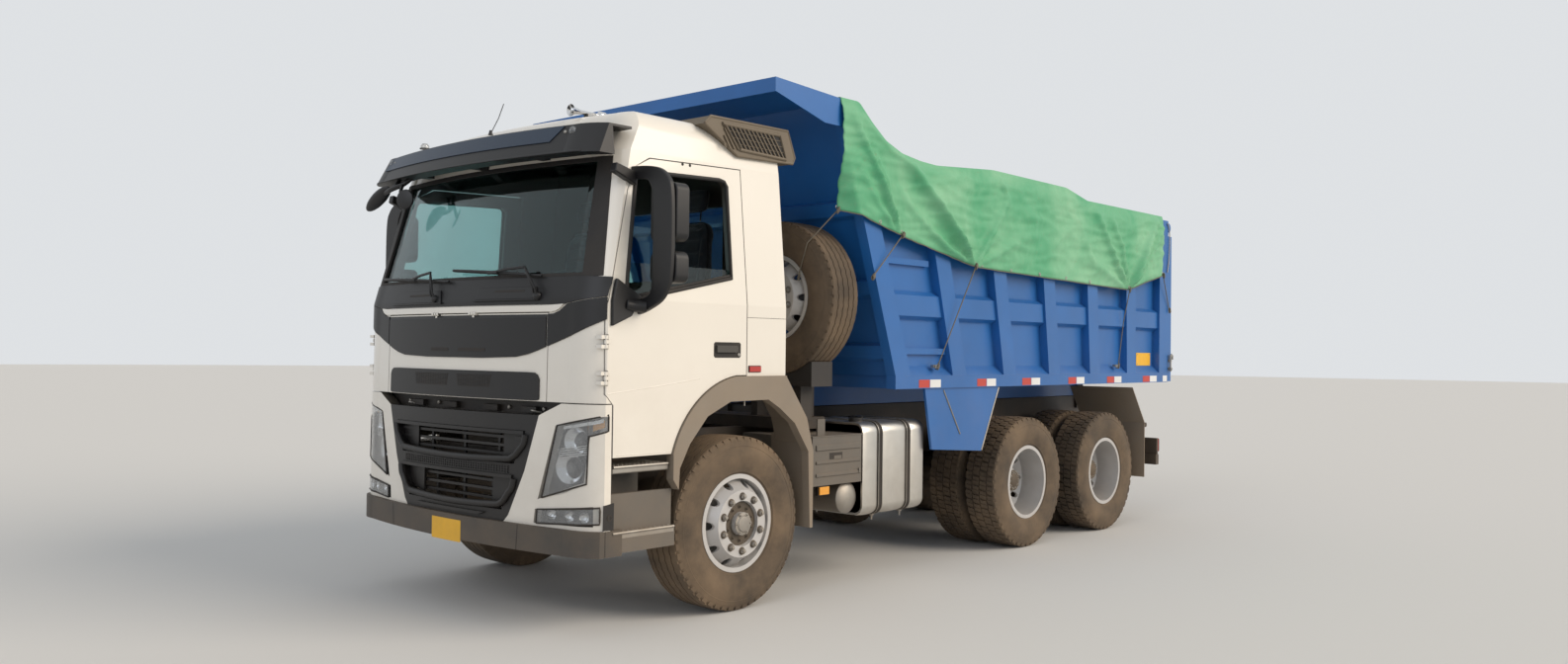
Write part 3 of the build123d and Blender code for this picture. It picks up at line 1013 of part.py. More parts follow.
# Body sides: plate, rails, sloped ledge, ribs that fan out from the leaning front post, hinge ears at the rear
for side, name in ((1, "left"), (-1, "right")):
    with BuildPart() as body_side:
        y_in, y_out = side * PLATE_Y, side * (PLATE_Y + PLATE)
        edge = side * BODY_HALF
        side_plate([(BODY_FRONT, RAIL_TOP), (post_x_at(SIDE_TOP), SIDE_TOP), (BODY_REAR, SIDE_TOP),
                    (BODY_REAR, RAIL_TOP)], y_in, y_out)
        box(BODY_REAR, BODY_FRONT, y_in, edge, RAIL_BOTTOM, RAIL_TOP)
        front_plate([(y_out, 1500), (side * 1265, RAIL_TOP), (y_out, RAIL_TOP)], BODY_REAR, BODY_FRONT - 120)
        top_front = post_x_at(2850) - 60
        box(BODY_REAR, top_front, y_in, edge, 2850, SIDE_TOP)
        front_plate([(side * y, z) for y, z in MID_RAIL], BODY_REAR, post_x_at(1835) - 90)
        side_plate([(BODY_FRONT, RAIL_TOP), (post_x_at(POST_TOP), POST_TOP),
                    (post_x_at(POST_TOP) - RIB_WIDTH, POST_TOP), (BODY_FRONT - RIB_WIDTH, RAIL_TOP)], y_in, edge)
        for i in range(1, RIB_COUNT - 1):
            middle = BODY_FRONT - RIB_WIDTH / 2 - i * RIB_PITCH
            lean = POST_LEAN * (1 - i / (RIB_COUNT - 1)) ** 1.4 * (2850 - RAIL_TOP)
            side_plate([(middle + RIB_WIDTH / 2, RAIL_TOP), (middle + RIB_WIDTH / 2 + lean, 2850),
                        (middle - RIB_WIDTH / 2 + lean, 2850), (middle - RIB_WIDTH / 2, RAIL_TOP)], y_out, edge)
        box(BODY_REAR, BODY_REAR + RIB_WIDTH, y_in, edge, RAIL_TOP, SIDE_TOP - 17)
        for z in (1610, 2255):
            rung_x = post_x_at(z) - RIB_WIDTH
            box(rung_x - 545, rung_x + 20, y_out, side * 1235, z - 22, z + 22)
        panel = ((-1893, 1339), (-2908, 1339), (-2657, 842), (-1989, 886))
        side_plate([(AXLE_1 + x, z) for x, z in panel], side * 1235, side * 1255)
        side_plate([(BODY_REAR + 90, GATE_PIN_Z - 45), (BODY_REAR + 90, SIDE_TOP - 17),
                    (GATE_PIN_X, GATE_PIN_Z + 45), (GATE_PIN_X, GATE_PIN_Z - 45)], y_in, side * (BODY_HALF - 15))
        rod(GATE_PIN_X, side * (PLATE_Y + BODY_HALF - 15) / 2, GATE_PIN_Z, 45, BODY_HALF - 15 - PLATE_Y, "Y")
        rod(GATE_PIN_X, side * BODY_HALF, GATE_PIN_Z, GATE_PIN_R + PIN_FIT, 2 * (BODY_HALF - PLATE_Y) + 10, "Y",
            Mode.SUBTRACT)
    body_side.part.label = f"body_side_{name}"
    export_step(body_side.part, f"parts/body_side_{name}.step")

# Front wall with three stiffeners, and the canopy over the cab with its side gussets
with BuildPart() as body_front:
    side_plate([(wall_x(FLOOR_TOP), FLOOR_TOP), (wall_x(POST_TOP), POST_TOP), (wall_x(POST_TOP) - 10, POST_TOP),
                (wall_x(FLOOR_TOP) - 10, FLOOR_TOP)], -PLATE_Y, PLATE_Y)
    for z in (1600, 2050, 2590):
        side_plate([(wall_x(z - 65), z - 65), (wall_x(z - 45) + 48, z - 45), (wall_x(z + 45) + 48, z + 45),
                    (wall_x(z + 65), z + 65)], -PLATE_Y, PLATE_Y)
    post = post_x_at(POST_TOP)
    side_plate([(post - RIB_WIDTH, POST_TOP), (post - RIB_WIDTH, CANOPY_REAR_Z), (post, CANOPY_REAR_Z),
                (CANOPY_REACH, CANOPY_TOP), (CANOPY_REACH, CANOPY_TOP - 92), (CANOPY_REACH - 10, CANOPY_TOP - 92),
                (CANOPY_REACH - 10, CANOPY_TOP - 10), (post, POST_TOP)], -BODY_HALF, BODY_HALF)
    for side in (1, -1):
        side_plate([(post, POST_TOP), (CANOPY_REACH - 10, CANOPY_TOP - 10), (CANOPY_REACH - 10, CANOPY_TOP - 92),
                    (AXLE_1 - 709, 3112), (post_x_at(3112), 3112)], side * (BODY_HALF - 12), side * BODY_HALF)
body_front.part.label = "body_front"
export_step(body_front.part, "parts/body_front.step")

# Cover sheet over the load space, with skirts that hang outside the body
with BuildPart() as tarp:
    for side in (1, -1):
        skirt = [(-860, CANOPY_REAR_Z - 5)] + list(TARP_TOP) + list(TARP_HEM)
        side_plate([(AXLE_1 + x, z) for x, z in skirt], side * (BODY_HALF + FIT), side * (BODY_HALF + FIT + TARP_T))
    top = [(AXLE_1 + x, z) for x, z in TARP_TOP]
    under = [(x, max(z - 20, SIDE_TOP + FIT)) for x, z in top[::-1]]
    side_plate(top + under, -BODY_HALF - FIT - TARP_T, BODY_HALF + FIT + TARP_T)
    front_z = POST_TOP - 25
    side_plate([top[0], (wall_x(front_z) - 30, front_z), (wall_x(front_z) - 30, front_z - 20),
                (top[0][0], top[0][1] - 20)], -PLATE_Y + 2, PLATE_Y - 2)
tarp.part.label = "tarp"
export_step(tarp.part, "parts/tarp.step")

# Tailgate: a plate framed by ribs, hung on two eyes at its top
with BuildPart() as tailgate:
    gate_x = BODY_REAR - MOVE
    gate_y = BODY_HALF - 8
    box(gate_x, gate_x - 12, -gate_y, gate_y, GATE_LOW, GATE_TOP)
    for z0, z1 in ((GATE_LOW, GATE_LOW + 110), (2030, 2130), (GATE_TOP - 110, GATE_TOP)):
        box(gate_x - 12, REAR, -gate_y, gate_y, z0, z1)
    for y in (-gate_y + 60, -420, 420, gate_y - 60):
        box(gate_x - 12, REAR, y - 60, y + 60, GATE_LOW, GATE_TOP)
    for side in (1, -1):
        rod(GATE_PIN_X, side * 1152, GATE_PIN_Z, 42, 64, "Y")
        box(GATE_PIN_X - 38, GATE_PIN_X + 32, side * 1120, side * 1184, GATE_TOP - 60, GATE_PIN_Z)
        rod(GATE_PIN_X, side * (BODY_HALF + 1105) / 2, GATE_PIN_Z, GATE_PIN_R, BODY_HALF - 15 - 1120, "Y")
tailgate.part.label = "tailgate"
export_step(tailgate.part, "parts/tailgate.step")


def along_hoist(start, end, radius, mode=Mode.ADD):
    """A cylinder on the hoist's line between two distances from its lower pin."""
    middle = (start + end) / 2
    place = Location((HOIST_X, 0, HOIST_Z), (0, 90 - HOIST_ANGLE, 0)) * Location((0, 0, middle))
    with Locations(place):
        Cylinder(radius, end - start, mode=mode)


# Hoist: barrel on the frame's pin, one hollow stage, and the rod with its cross pin between the body's lugs
with BuildPart() as hoist_barrel:
    start, end, radius, bore, bottom = BARREL
    along_hoist(start - 30, end, radius)
    along_hoist(bottom, end + 1, bore, Mode.SUBTRACT)
    along_hoist(end - 25, end, radius)
    along_hoist(end - 30, end + 1, STAGE[2] + FIT, Mode.SUBTRACT)
    rod(HOIST_X, 0, HOIST_Z, 50, 2 * HOIST_EYE_Y, "Y")
    rod(HOIST_X, 0, HOIST_Z, HOIST_PIN_R + PIN_FIT, 3 * HOIST_EYE_Y, "Y", Mode.SUBTRACT)
hoist_barrel.part.label = "hoist_barrel"
export_step(hoist_barrel.part, "parts/hoist_barrel.step")

with BuildPart() as hoist_stage:
    start, end, radius, bore, bottom = STAGE
    along_hoist(start, end, radius)
    along_hoist(bottom, end + 1, bore, Mode.SUBTRACT)
    along_hoist(end - 25, end, radius)
    along_hoist(end - 30, end + 1, HOIST_ROD_R + FIT, Mode.SUBTRACT)
hoist_stage.part.label = "hoist_stage"
export_step(hoist_stage.part, "parts/hoist_stage.step")

with BuildPart() as hoist_rod:
    along_hoist(STAGE[4] + 10, HOIST_LENGTH, HOIST_ROD_R)
    rod(HOIST_TOP_X, 0, HOIST_TOP_Z, 45, 80, "Y")
    rod(HOIST_TOP_X, 0, HOIST_TOP_Z, HOIST_PIN_R, 2 * HOIST_EYE_Y, "Y")
hoist_rod.part.label = "hoist_rod"
export_step(hoist_rod.part, "parts/hoist_rod.step")
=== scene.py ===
# %% [markdown]
# # A three-axle tipper truck, dressed for a picture
# The truck's solids come in first, as a frame that never moves. Every finish and every small piece below is
# laid on that frame, so it stays right when a wheel turns, a door opens or the body tips. All lengths are
# in metres; X points forward, Y to the truck's left, Z up.

# %% Load the truck's solids
import bisect
import functools
import math
import re

import bmesh
import bpy
from mathutils import Matrix, Vector, noise


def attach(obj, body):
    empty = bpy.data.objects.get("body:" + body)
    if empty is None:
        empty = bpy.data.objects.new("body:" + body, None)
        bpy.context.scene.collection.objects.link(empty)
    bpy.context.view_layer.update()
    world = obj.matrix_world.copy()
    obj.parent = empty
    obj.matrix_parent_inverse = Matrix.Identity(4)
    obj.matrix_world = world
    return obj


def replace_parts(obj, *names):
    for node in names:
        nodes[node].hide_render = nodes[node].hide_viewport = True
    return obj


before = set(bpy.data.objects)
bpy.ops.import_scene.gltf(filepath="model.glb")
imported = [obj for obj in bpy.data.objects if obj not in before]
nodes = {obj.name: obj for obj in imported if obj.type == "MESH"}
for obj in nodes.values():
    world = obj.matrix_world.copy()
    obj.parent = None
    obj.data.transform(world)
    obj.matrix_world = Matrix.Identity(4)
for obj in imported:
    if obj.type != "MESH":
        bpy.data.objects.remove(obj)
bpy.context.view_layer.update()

# %% [markdown]
# ## Places that many pieces share
# A truck is set out from its axles: the cab's measures count from the front one, the body's from its own
# walls. The same few numbers are used here, so that a piece lands on the solid it belongs to.

# %% Places
FRONT_AXLE, MID_AXLE, REAR_AXLE = 2.395, -1.045, -2.415
WHEEL_Z = 0.538
CAB_HALF, CAB_BACK = 1.235, 2.012
BODY_FRONT, BODY_BACK = 0.882, -3.591
POST_FOOT, POST_LEAN = 1.430, 0.355
SIDES = ((1, "left"), (-1, "right"))


def post_x(z):
    """Where the body's leaning front post ends at a height."""
    return BODY_FRONT + (z - POST_FOOT) * POST_LEAN


# %% [markdown]
# ## The camera
# The picture was taken from the truck's front left corner, at eye height, with a moderately wide lens. The
# lens and the turn of the camera come from straight edges whose real sizes are known, such as the
# wheelbase, so pieces can be laid over the picture line by line.

# %% Camera
IMAGE_WIDTH, FOCAL_PIXELS, SENSOR = 1586, 1202.25, 36
CAMERA_SPOT = (7.666, 6.315, 1.605)
yaw, pitch, roll = (math.radians(angle) for angle in (42.026, 0.887, 0.690))
forward = Vector((-math.cos(pitch) * math.cos(yaw), -math.cos(pitch) * math.sin(yaw), math.sin(pitch)))
level_right = forward.cross(Vector((0, 0, 1))).normalized()
level_up = level_right.cross(forward)
right = level_right * math.cos(roll) + level_up * math.sin(roll)
up = level_up * math.cos(roll) - level_right * math.sin(roll)

camera = bpy.data.objects.new("camera", bpy.data.cameras.new("camera"))
bpy.context.scene.collection.objects.link(camera)
camera.data.sensor_width = SENSOR
camera.data.lens = SENSOR * FOCAL_PIXELS / IMAGE_WIDTH
turn = Matrix((right, up, -forward)).transposed().to_4x4()
camera.matrix_world = Matrix.Translation(CAMERA_SPOT) @ turn
bpy.context.scene.camera = camera
print("lens:", round(camera.data.lens, 1), "mm")

# %% [markdown]
# ## Colour and nodes
# A colour written as a web hex value is what the screen shows. The renderer counts light, so the value is
# turned to linear first. One function adds a node, sets it up and links it, which keeps each finish short.


# %% Colour and one node at a time
def linear(code):
    """A hex colour as the renderer's linear red, green, blue and alpha."""
    shown = [int(code[i:i + 2], 16) / 255 for i in (1, 3, 5)]
    return tuple(c / 12.92 if c <= 0.04045 else ((c + 0.055) / 1.055) ** 2.4 for c in shown) + (1.0,)


def add(tree, kind, inputs=None, **settings):
    """One shader node. inputs holds plain values, or the nodes and outputs that feed it."""
    node = tree.nodes.new("ShaderNode" + kind)
    for key, value in settings.items():
        setattr(node, key, value)
    for key, value in (inputs or {}).items():
        if isinstance(value, bpy.types.Node):
            value = value.outputs[2 if value.bl_idname == "ShaderNodeMix" else 0]
        if isinstance(value, bpy.types.NodeSocket):
            tree.links.new(value, node.inputs[key])
        else:
            node.inputs[key].default_value = value
    return node


def per_mm(size):
    """The noise scale whose features are about this many millimetres across."""
    return 1000 / size


def blank(name):
    """A new material without nodes, and its tree."""
    material = bpy.data.materials.new(name)
    material.use_nodes = True
    material.node_tree.nodes.clear()
    return material, material.node_tree


# %% [markdown]
# ## Dust
# A tipper works on bare earth, so dry brown dust lies on nearly everything: thick near the ground, in
# patches, and wherever a face looks up. Dust is dull, so it also takes the gloss off. Each finish below
# asks one function for its dust and gives the heights between which it thins out.


# %% Dust over a finish
DUST = "#8F7960"


def dusted(tree, colour, rough, amount, low, high):
    """Lays dust over a colour and a roughness and returns both."""
    place = add(tree, "TexCoord")
    height = add(tree, "SeparateXYZ", {0: place.outputs["Object"]}).outputs["Z"]
    facing = add(tree, "SeparateXYZ", {0: place.outputs["Normal"]}).outputs["Z"]
    thick = add(tree, "MapRange", {0: height, 1: low, 2: high, 3: amount, 4: amount * 0.12})
    looks_up = add(tree, "MapRange", {0: facing, 1: 0.5, 2: 1.0, 3: 0.0, 4: amount * 0.6})
    patches = add(tree, "TexNoise", {"Vector": place.outputs["Object"], "Scale": per_mm(420), "Detail": 6,
                                     "Roughness": 0.65})
    spread = add(tree, "MapRange", {0: patches, 1: 0.35, 2: 0.72, 3: 0.35, 4: 1.35})
    both = add(tree, "Math", {0: thick, 1: looks_up}, operation="ADD")
    mask = add(tree, "Math", {0: both, 1: spread}, operation="MULTIPLY", use_clamp=True)
    mixed = add(tree, "Mix", {0: mask, 6: colour, 7: linear(DUST)}, data_type="RGBA")
    dull = add(tree, "MapRange", {0: mask, 1: 0.0, 2: 1.0, 3: rough, 4: 0.92})
    return mixed, dull


# %% [markdown]
# ## One recipe for painted and moulded surfaces
# Paint and plastic are never one flat tone. Each is built the same way: the colour drifts a little over
# some hundreds of millimetres, chips or stains may break it, dust lies over it, and a fine grain catches
# the light. What differs is the colour, the gloss, the size of the grain and how much wear shows.


# %% The recipe
CAB_MIDDLE = (2.85, 0.0, 2.1)


def finish(name, colour, rough, shader=None, dust=(0.3, 0.2, 1.9), mottle=(0.05, 300), grain=(1.2, 0.02),
           chips=None, inward_face_colour=None):
    """A surface material.

    dust is an amount and the two heights it thins out between; mottle a strength and a size in mm; grain a
    size in mm and a strength; chips a colour, a size in mm and a threshold; the inward face colour is the
    dark colour given to faces that look towards the cab's middle.
    """
    material, tree = blank(name)
    place = add(tree, "TexCoord")
    spot = place.outputs["Object"]
    drift, cell = mottle
    tone = add(tree, "TexNoise", {"Vector": spot, "Scale": per_mm(cell), "Detail": 5})
    deep, pale = ([c * share for c in linear(colour)[:3]] + [1] for share in (1 - 2 * drift, 1 + 2 * drift))
    shade = add(tree, "Mix", {0: tone, 6: deep, 7: pale}, data_type="RGBA")
    if chips:
        rust, size, edge = chips
        spots = add(tree, "TexNoise", {"Vector": spot, "Scale": per_mm(size), "Detail": 8, "Roughness": 0.7})
        bare = add(tree, "MapRange", {0: spots, 1: edge, 2: edge + 0.03, 3: 0.0, 4: 0.8})
        shade = add(tree, "Mix", {0: bare, 6: shade, 7: linear(rust)}, data_type="RGBA")
    mixed, dull = dusted(tree, shade, rough, *dust)
    # Faces that look towards the cab's middle take one darker colour.
    if inward_face_colour:
        from_middle = add(tree, "VectorMath", {0: spot, 1: CAB_MIDDLE}, operation="SUBTRACT")
        normal = place.outputs["Normal"]
        outward = add(tree, "VectorMath", {0: from_middle, 1: normal}, operation="DOT_PRODUCT")
        faces_in = add(tree, "Math", {0: outward.outputs["Value"], 1: 0.0}, operation="LESS_THAN")
        mixed = add(tree, "Mix", {0: faces_in, 6: mixed, 7: linear(inward_face_colour)}, data_type="RGBA")
    size, strength = grain
    fine = add(tree, "TexNoise", {"Vector": spot, "Scale": per_mm(size), "Detail": 2})
    relief = add(tree, "Bump", {"Height": fine, "Strength": strength, "Distance": 0.001})
    surface = add(tree, "BsdfPrincipled", {"Base Color": mixed, "Roughness": dull, "Normal": relief,
                                           **(shader or {})})
    add(tree, "OutputMaterial", {"Surface": surface})
    return material


# %% [markdown]
# ## Paints
# The cab is sprayed acrylic enamel: smooth, with a clear coat that mirrors softly. The body is alkyd enamel
# brushed and sprayed over plate, duller, scratched by stone and rusting where it is chipped. The chassis
# enamel is a satin black that dust nearly hides, and the wheels are silver-painted steel.

# %% Paints
INWARD_FACE_COLOUR = "#4A453E"
cab_enamel = finish("acrylic_enamel_white", "#E9E4DA", 0.3, {"Coat Weight": 0.5, "Coat Roughness": 0.08},
                    dust=(0.16, 0.95, 1.7), mottle=(0.012, 500), grain=(2.5, 0.012), inward_face_colour=INWARD_FACE_COLOUR)
body_enamel = finish("alkyd_enamel_blue", "#1A62A8", 0.36, {"Coat Weight": 0.15, "Coat Roughness": 0.2},
                     dust=(0.08, 1.2, 2.3), mottle=(0.1, 450), grain=(3, 0.03), chips=("#6B4632", 70, 0.735))
chassis_enamel = finish("chassis_enamel_black", "#1D1E20", 0.5, dust=(0.4, 0.3, 1.4), mottle=(0.15, 200),
                        grain=(3, 0.05), chips=("#5E3D29", 40, 0.72))
wheel_enamel = finish("wheel_enamel_silver", "#C6C6C6", 0.36, {"Metallic": 0.3}, dust=(0.2, 3.0, 4.0),
                      mottle=(0.05, 120), grain=(1.5, 0.03), chips=("#6B5340", 30, 0.74))

# %% [markdown]
# ## Plastics
# Bumper, steps and wheel arches are moulded polypropylene, dyed grey and bleached by the sun. The bumper
# takes a darker copy of the grey, painted shade for its front, which lies in shade. The band under the
# windscreen, the grille and the mirrors are black ABS with a fine leather-like grain. The visor's upper facet
# is that ABS drawn slate blue, a painted reflection of the sky. The air intake is beige grey polypropylene.

# %% Plastics
black_abs = finish("moulded_abs_black", "#0B0C0F", 0.45, dust=(0.04, 0.5, 1.6), mottle=(0.08, 250),
                   grain=(1.5, 0.12))
# Slate blue for the visor's upper facet: a painted reflection of the sky on black ABS.
visor_abs_painted_sky_reflection = finish("moulded_abs_black_painted_sky_reflection", "#162C42", 0.4, dust=(0.04, 0.5, 1.6), mottle=(0.06, 250),
                   grain=(1.5, 0.06))
grey_pp = finish("moulded_polypropylene_grey", "#5C5A56", 0.6, dust=(0.3, 0.3, 1.7), mottle=(0.06, 260),
                 grain=(1.6, 0.12))
# A darker copy of the grey: painted shade for the bumper's shaded front. The door handles' grips take it too.
grey_pp_painted_shade = finish("moulded_polypropylene_grey_painted_shade", "#3F3E3C", 0.6, dust=(0.3, 0.3, 1.7),
                   mottle=(0.06, 260), grain=(1.6, 0.12))
arch_pp = finish("moulded_polypropylene_grey_faded", "#857C70", 0.6, dust=(0.45, 0.4, 2.2),
                 mottle=(0.08, 260), grain=(1.6, 0.12))
intake_pp = finish("moulded_polypropylene_beige", "#6A6051", 0.55, dust=(0.2, 1.0, 4.0), mottle=(0.06, 200),
                   grain=(1.6, 0.1))
seal_rubber = finish("extruded_epdm_rubber", "#17181A", 0.7, dust=(0.12, 0.5, 3.0), mottle=(0.1, 80),
                     grain=(1, 0.05))
tyre_rubber = finish("vulcanised_tyre_rubber", "#2C2926", 0.85, dust=(0.5, 3.0, 4.0), mottle=(0.12, 140),
                     grain=(2.2, 0.25))

# %% [markdown]
# ## Bare metals
# The fuel tank is rolled aluminium, polished when new and dulled by weather. The step plates, the nuts
# and the edges of the tank's straps are zinc-plated steel. Rods and lamp bowls are chromed. A metal's
# colour is its reflection, so bright metals have full metallic weight. Zinc gone dull and rough cast iron
# have less.

# %% Bare metals
tank_metal = finish("polished_rolled_aluminium", "#CFCCC5", 0.3, {"Metallic": 1.0}, dust=(0.3, 0.35, 1.2),
                    mottle=(0.06, 90), grain=(4, 0.04))
zinc_steel = finish("zinc_plated_steel", "#9C9A95", 0.42, {"Metallic": 0.9}, dust=(0.4, 0.3, 1.6),
                    mottle=(0.1, 60), grain=(2, 0.08), chips=("#6A4A35", 35, 0.72))
cast_iron = finish("cast_iron", "#4B4A47", 0.65, {"Metallic": 0.5}, dust=(0.5, 0.3, 1.5), mottle=(0.12, 90),
                   grain=(3, 0.3))
chrome = finish("hard_chrome", "#D9DADB", 0.08, {"Metallic": 1.0}, dust=(0.05, 0.3, 1.5), mottle=(0.02, 90),
                grain=(2, 0.004))
mirror_silver = finish("silvered_mirror_glass", "#DDE3E6", 0.04, {"Metallic": 1.0}, dust=(0.05, 0.3, 3),
                       mottle=(0.01, 200), grain=(2, 0.002))

# %% [markdown]
# ## Lenses, tape and plates
# Lamp lenses are polycarbonate. The strips along the body are glass-bead tape, red and white in turn, the
# plates are enamelled aluminium, left blank, and the cover's ropes are laid polypropylene.

# %% Lenses, tape and plates
LENS = {"Transmission Weight": 0.9, "IOR": 1.58}
clear_lens = finish("clear_polycarbonate", "#F2F5F7", 0.05, LENS, dust=(0.12, 0.5, 1.6), mottle=(0.01, 200),
                    grain=(3, 0.01))
red_lens = finish("red_polycarbonate", "#B3201A", 0.2, {"Coat Weight": 0.5}, dust=(0.2, 0.5, 2.2),
                  mottle=(0.06, 40), grain=(3, 0.02))
amber_lens = finish("amber_polycarbonate", "#F0A21E", 0.2, {"Coat Weight": 0.5}, dust=(0.15, 0.5, 2.2),
                    mottle=(0.06, 40), grain=(3, 0.02))
red_tape = finish("bead_tape_red", "#C2302A", 0.35, dust=(0.2, 1.0, 3.0), mottle=(0.05, 30), grain=(2, 0.1))
white_tape = finish("bead_tape_white", "#E9ECEE", 0.35, dust=(0.2, 1.0, 3.0), mottle=(0.02, 30),
                    grain=(2, 0.1))
yellow_plate = finish("enamelled_plate_yellow", "#F2B81F", 0.35, dust=(0.2, 0.3, 2.0), mottle=(0.05, 60),
                      grain=(2, 0.03))
rope_fibre = finish("laid_polypropylene_rope", "#6E695E", 0.8, dust=(0.15, 3.0, 4.0), mottle=(0.15, 15),
                    grain=(3, 0.5))
print("finishes so far:", len(bpy.data.materials))

# %% [markdown]
# ## Glass
# The windscreen is laminated safety glass and the door panes are toughened, both with a faint green tint.
# Light passes through and bends, and the surface mirrors the sky, so the shader is nearly all transmission
# with a trace of roughness from wiped dust.


# %% Glass
def glass(name, tint):
    """A see-through pane with a thin film of dust on it."""
    material, tree = blank(name)
    spot = add(tree, "TexCoord").outputs["Object"]
    film = add(tree, "TexNoise", {"Vector": spot, "Scale": per_mm(350), "Detail": 6})
    haze = add(tree, "MapRange", {0: film, 1: 0.3, 2: 0.8, 3: 0.0, 4: 0.07})
    colour = add(tree, "Mix", {0: haze, 6: linear(tint), 7: linear(DUST)}, data_type="RGBA")
    rough = add(tree, "MapRange", {0: film, 1: 0.3, 2: 0.8, 3: 0.0, 4: 0.05})
    pane = add(tree, "BsdfPrincipled", {"Base Color": colour, "Roughness": rough, "IOR": 1.45,
                                        "Transmission Weight": 1.0})
    add(tree, "OutputMaterial", {"Surface": pane})
    return material


screen_glass = glass("laminated_glass_green", "#9CC8CC")
door_glass = glass("toughened_glass_green", "#C9DDD6")

# %% [markdown]
# ## Cloth
# The cover is PVC-coated polyester: a coarse basket weave under a soft green skin. The real one is faded on
# top and creased grey where it has been folded; here it fades in broad patches and is streaked with dust. Its
# threads are 1.5 mm apart, too fine for this picture, so the weave is drawn at 9 mm. The seats are wool-blend
# plush with a short pile.


# %% Cloth
def woven(name, colour, faded, thread, fade_size, rough, relief, sheen):
    """Cloth with two crossing sets of threads and faded patches; thread and fade_size are in mm."""
    material, tree = blank(name)
    place = add(tree, "TexCoord")
    spot = place.outputs["Object"]
    axes = add(tree, "SeparateXYZ", {0: spot})
    down = add(tree, "Math", {0: axes.outputs["Y"], 1: axes.outputs["Z"]}, operation="SUBTRACT")
    turn = 2 * math.pi * per_mm(thread)
    waves = []
    for along in (axes.outputs["X"], down):
        phase = add(tree, "Math", {0: along, 1: turn}, operation="MULTIPLY")
        waves.append(add(tree, "Math", {0: phase}, operation="SINE"))
    weave = add(tree, "Math", {0: waves[0], 1: waves[1]}, operation="MULTIPLY")
    worn = add(tree, "TexNoise", {"Vector": spot, "Scale": per_mm(fade_size), "Detail": 7, "Roughness": 0.6,
                                  "Distortion": 0.6})
    fading = add(tree, "MapRange", {0: worn, 1: 0.38, 2: 0.72, 3: 0.0, 4: 0.55})
    base = add(tree, "Mix", {0: fading, 6: linear(colour), 7: linear(faded)}, data_type="RGBA")
    streaks = add(tree, "TexNoise", {"Vector": spot, "Scale": per_mm(35), "Detail": 8, "Roughness": 0.75})
    dirt = add(tree, "MapRange", {0: streaks, 1: 0.56, 2: 0.75, 3: 0.0, 4: 0.3})
    soiled = add(tree, "Mix", {0: dirt, 6: base, 7: linear(DUST)}, data_type="RGBA")
    height = add(tree, "Math", {0: weave, 1: streaks}, operation="ADD")
    bump = add(tree, "Bump", {"Height": height, "Strength": relief, "Distance": 0.002})
    dull = add(tree, "MapRange", {0: worn, 1: 0.3, 2: 0.7, 3: rough, 4: min(1.0, rough + 0.2)})
    cloth = add(tree, "BsdfPrincipled", {"Base Color": soiled, "Roughness": dull, "Normal": bump,
                                         "Sheen Weight": sheen, "Sheen Roughness": 0.5})
    add(tree, "OutputMaterial", {"Surface": cloth})
    return material


cover_cloth = woven("pvc_coated_polyester_green", "#4BA375", "#A8D4B1", 9, 700, 0.55, 0.12, 0.1)
seat_cloth = woven("woven_seat_plush", "#2B2D33", "#45474E", 6, 120, 0.85, 0.3, 0.4)

# %% [markdown]
# ## Finishes on the solids
# Every solid gets the finish of the real piece, looked up by its name without the axle and the side.

# %% Finishes on the solids
DRESS = (
    (cab_enamel, "cab_shell cab_roof door lamp_panels front_hatch"),
    (body_enamel, "body_floor body_side body_front tailgate"),
    (chassis_enamel, "frame subframe spare_carrier rear_bar hoist_barrel"),
    (wheel_enamel, "rim rims spare_rim"),
    (black_abs, "sun_visor grille mirror dashboard"),
    (grey_pp, "steps side_boxes"),
    (grey_pp_painted_shade, "bumper"),
    (arch_pp, "mudguards"),
    (intake_pp, "air_intake"),
    (tyre_rubber, "tyre tyres spare_tyre"),
    (seal_rubber, "tank_straps"),
    (cast_iron, "front_axle drive_axles knuckle engine"),
    (tank_metal, "fuel_tank"),
    (chrome, "hoist_stage hoist_rod"),
    (screen_glass, "cab_glass"),
    (door_glass, "door_glass"),
    (clear_lens, "headlamps"),
    (red_lens, "tail_lamps"),
    (seat_cloth, "seats"),
    (cover_cloth, "tarp"),
)
FINISHES = {kind: material for material, kinds in DRESS for kind in kinds.split()}
for name, solid in nodes.items():
    kind = re.sub("(_front|_mid|_rear)?_(left|right)$", "", name)
    solid.data.materials.clear()
    solid.data.materials.append(FINISHES[kind])

# %% [markdown]
# ## Floor and light
# A pale floor and a pale surround keep attention on the truck. One wide, even lamp shines from the truck's
# left, where the low sun was, and a weaker one from the front, with even light from all round. The surround
# is bright to the camera, through glass and in reflections only, so the truck itself is lit at a plain
# level.

# %% Floor and light
floor_shape = bmesh.new()
bmesh.ops.create_circle(floor_shape, cap_ends=True, segments=64, radius=90)
floor_mesh = bpy.data.meshes.new("floor")
floor_shape.to_mesh(floor_mesh)
floor_shape.free()
floor = bpy.data.objects.new("floor", floor_mesh)
bpy.context.scene.collection.objects.link(floor)
floor_paint, tree = blank("studio_floor_paint")
pale_paint = add(tree, "BsdfPrincipled", {"Base Color": linear("#DAD9D6"), "Roughness": 0.8})
add(tree, "OutputMaterial", {"Surface": pale_paint})
floor.data.materials.append(floor_paint)

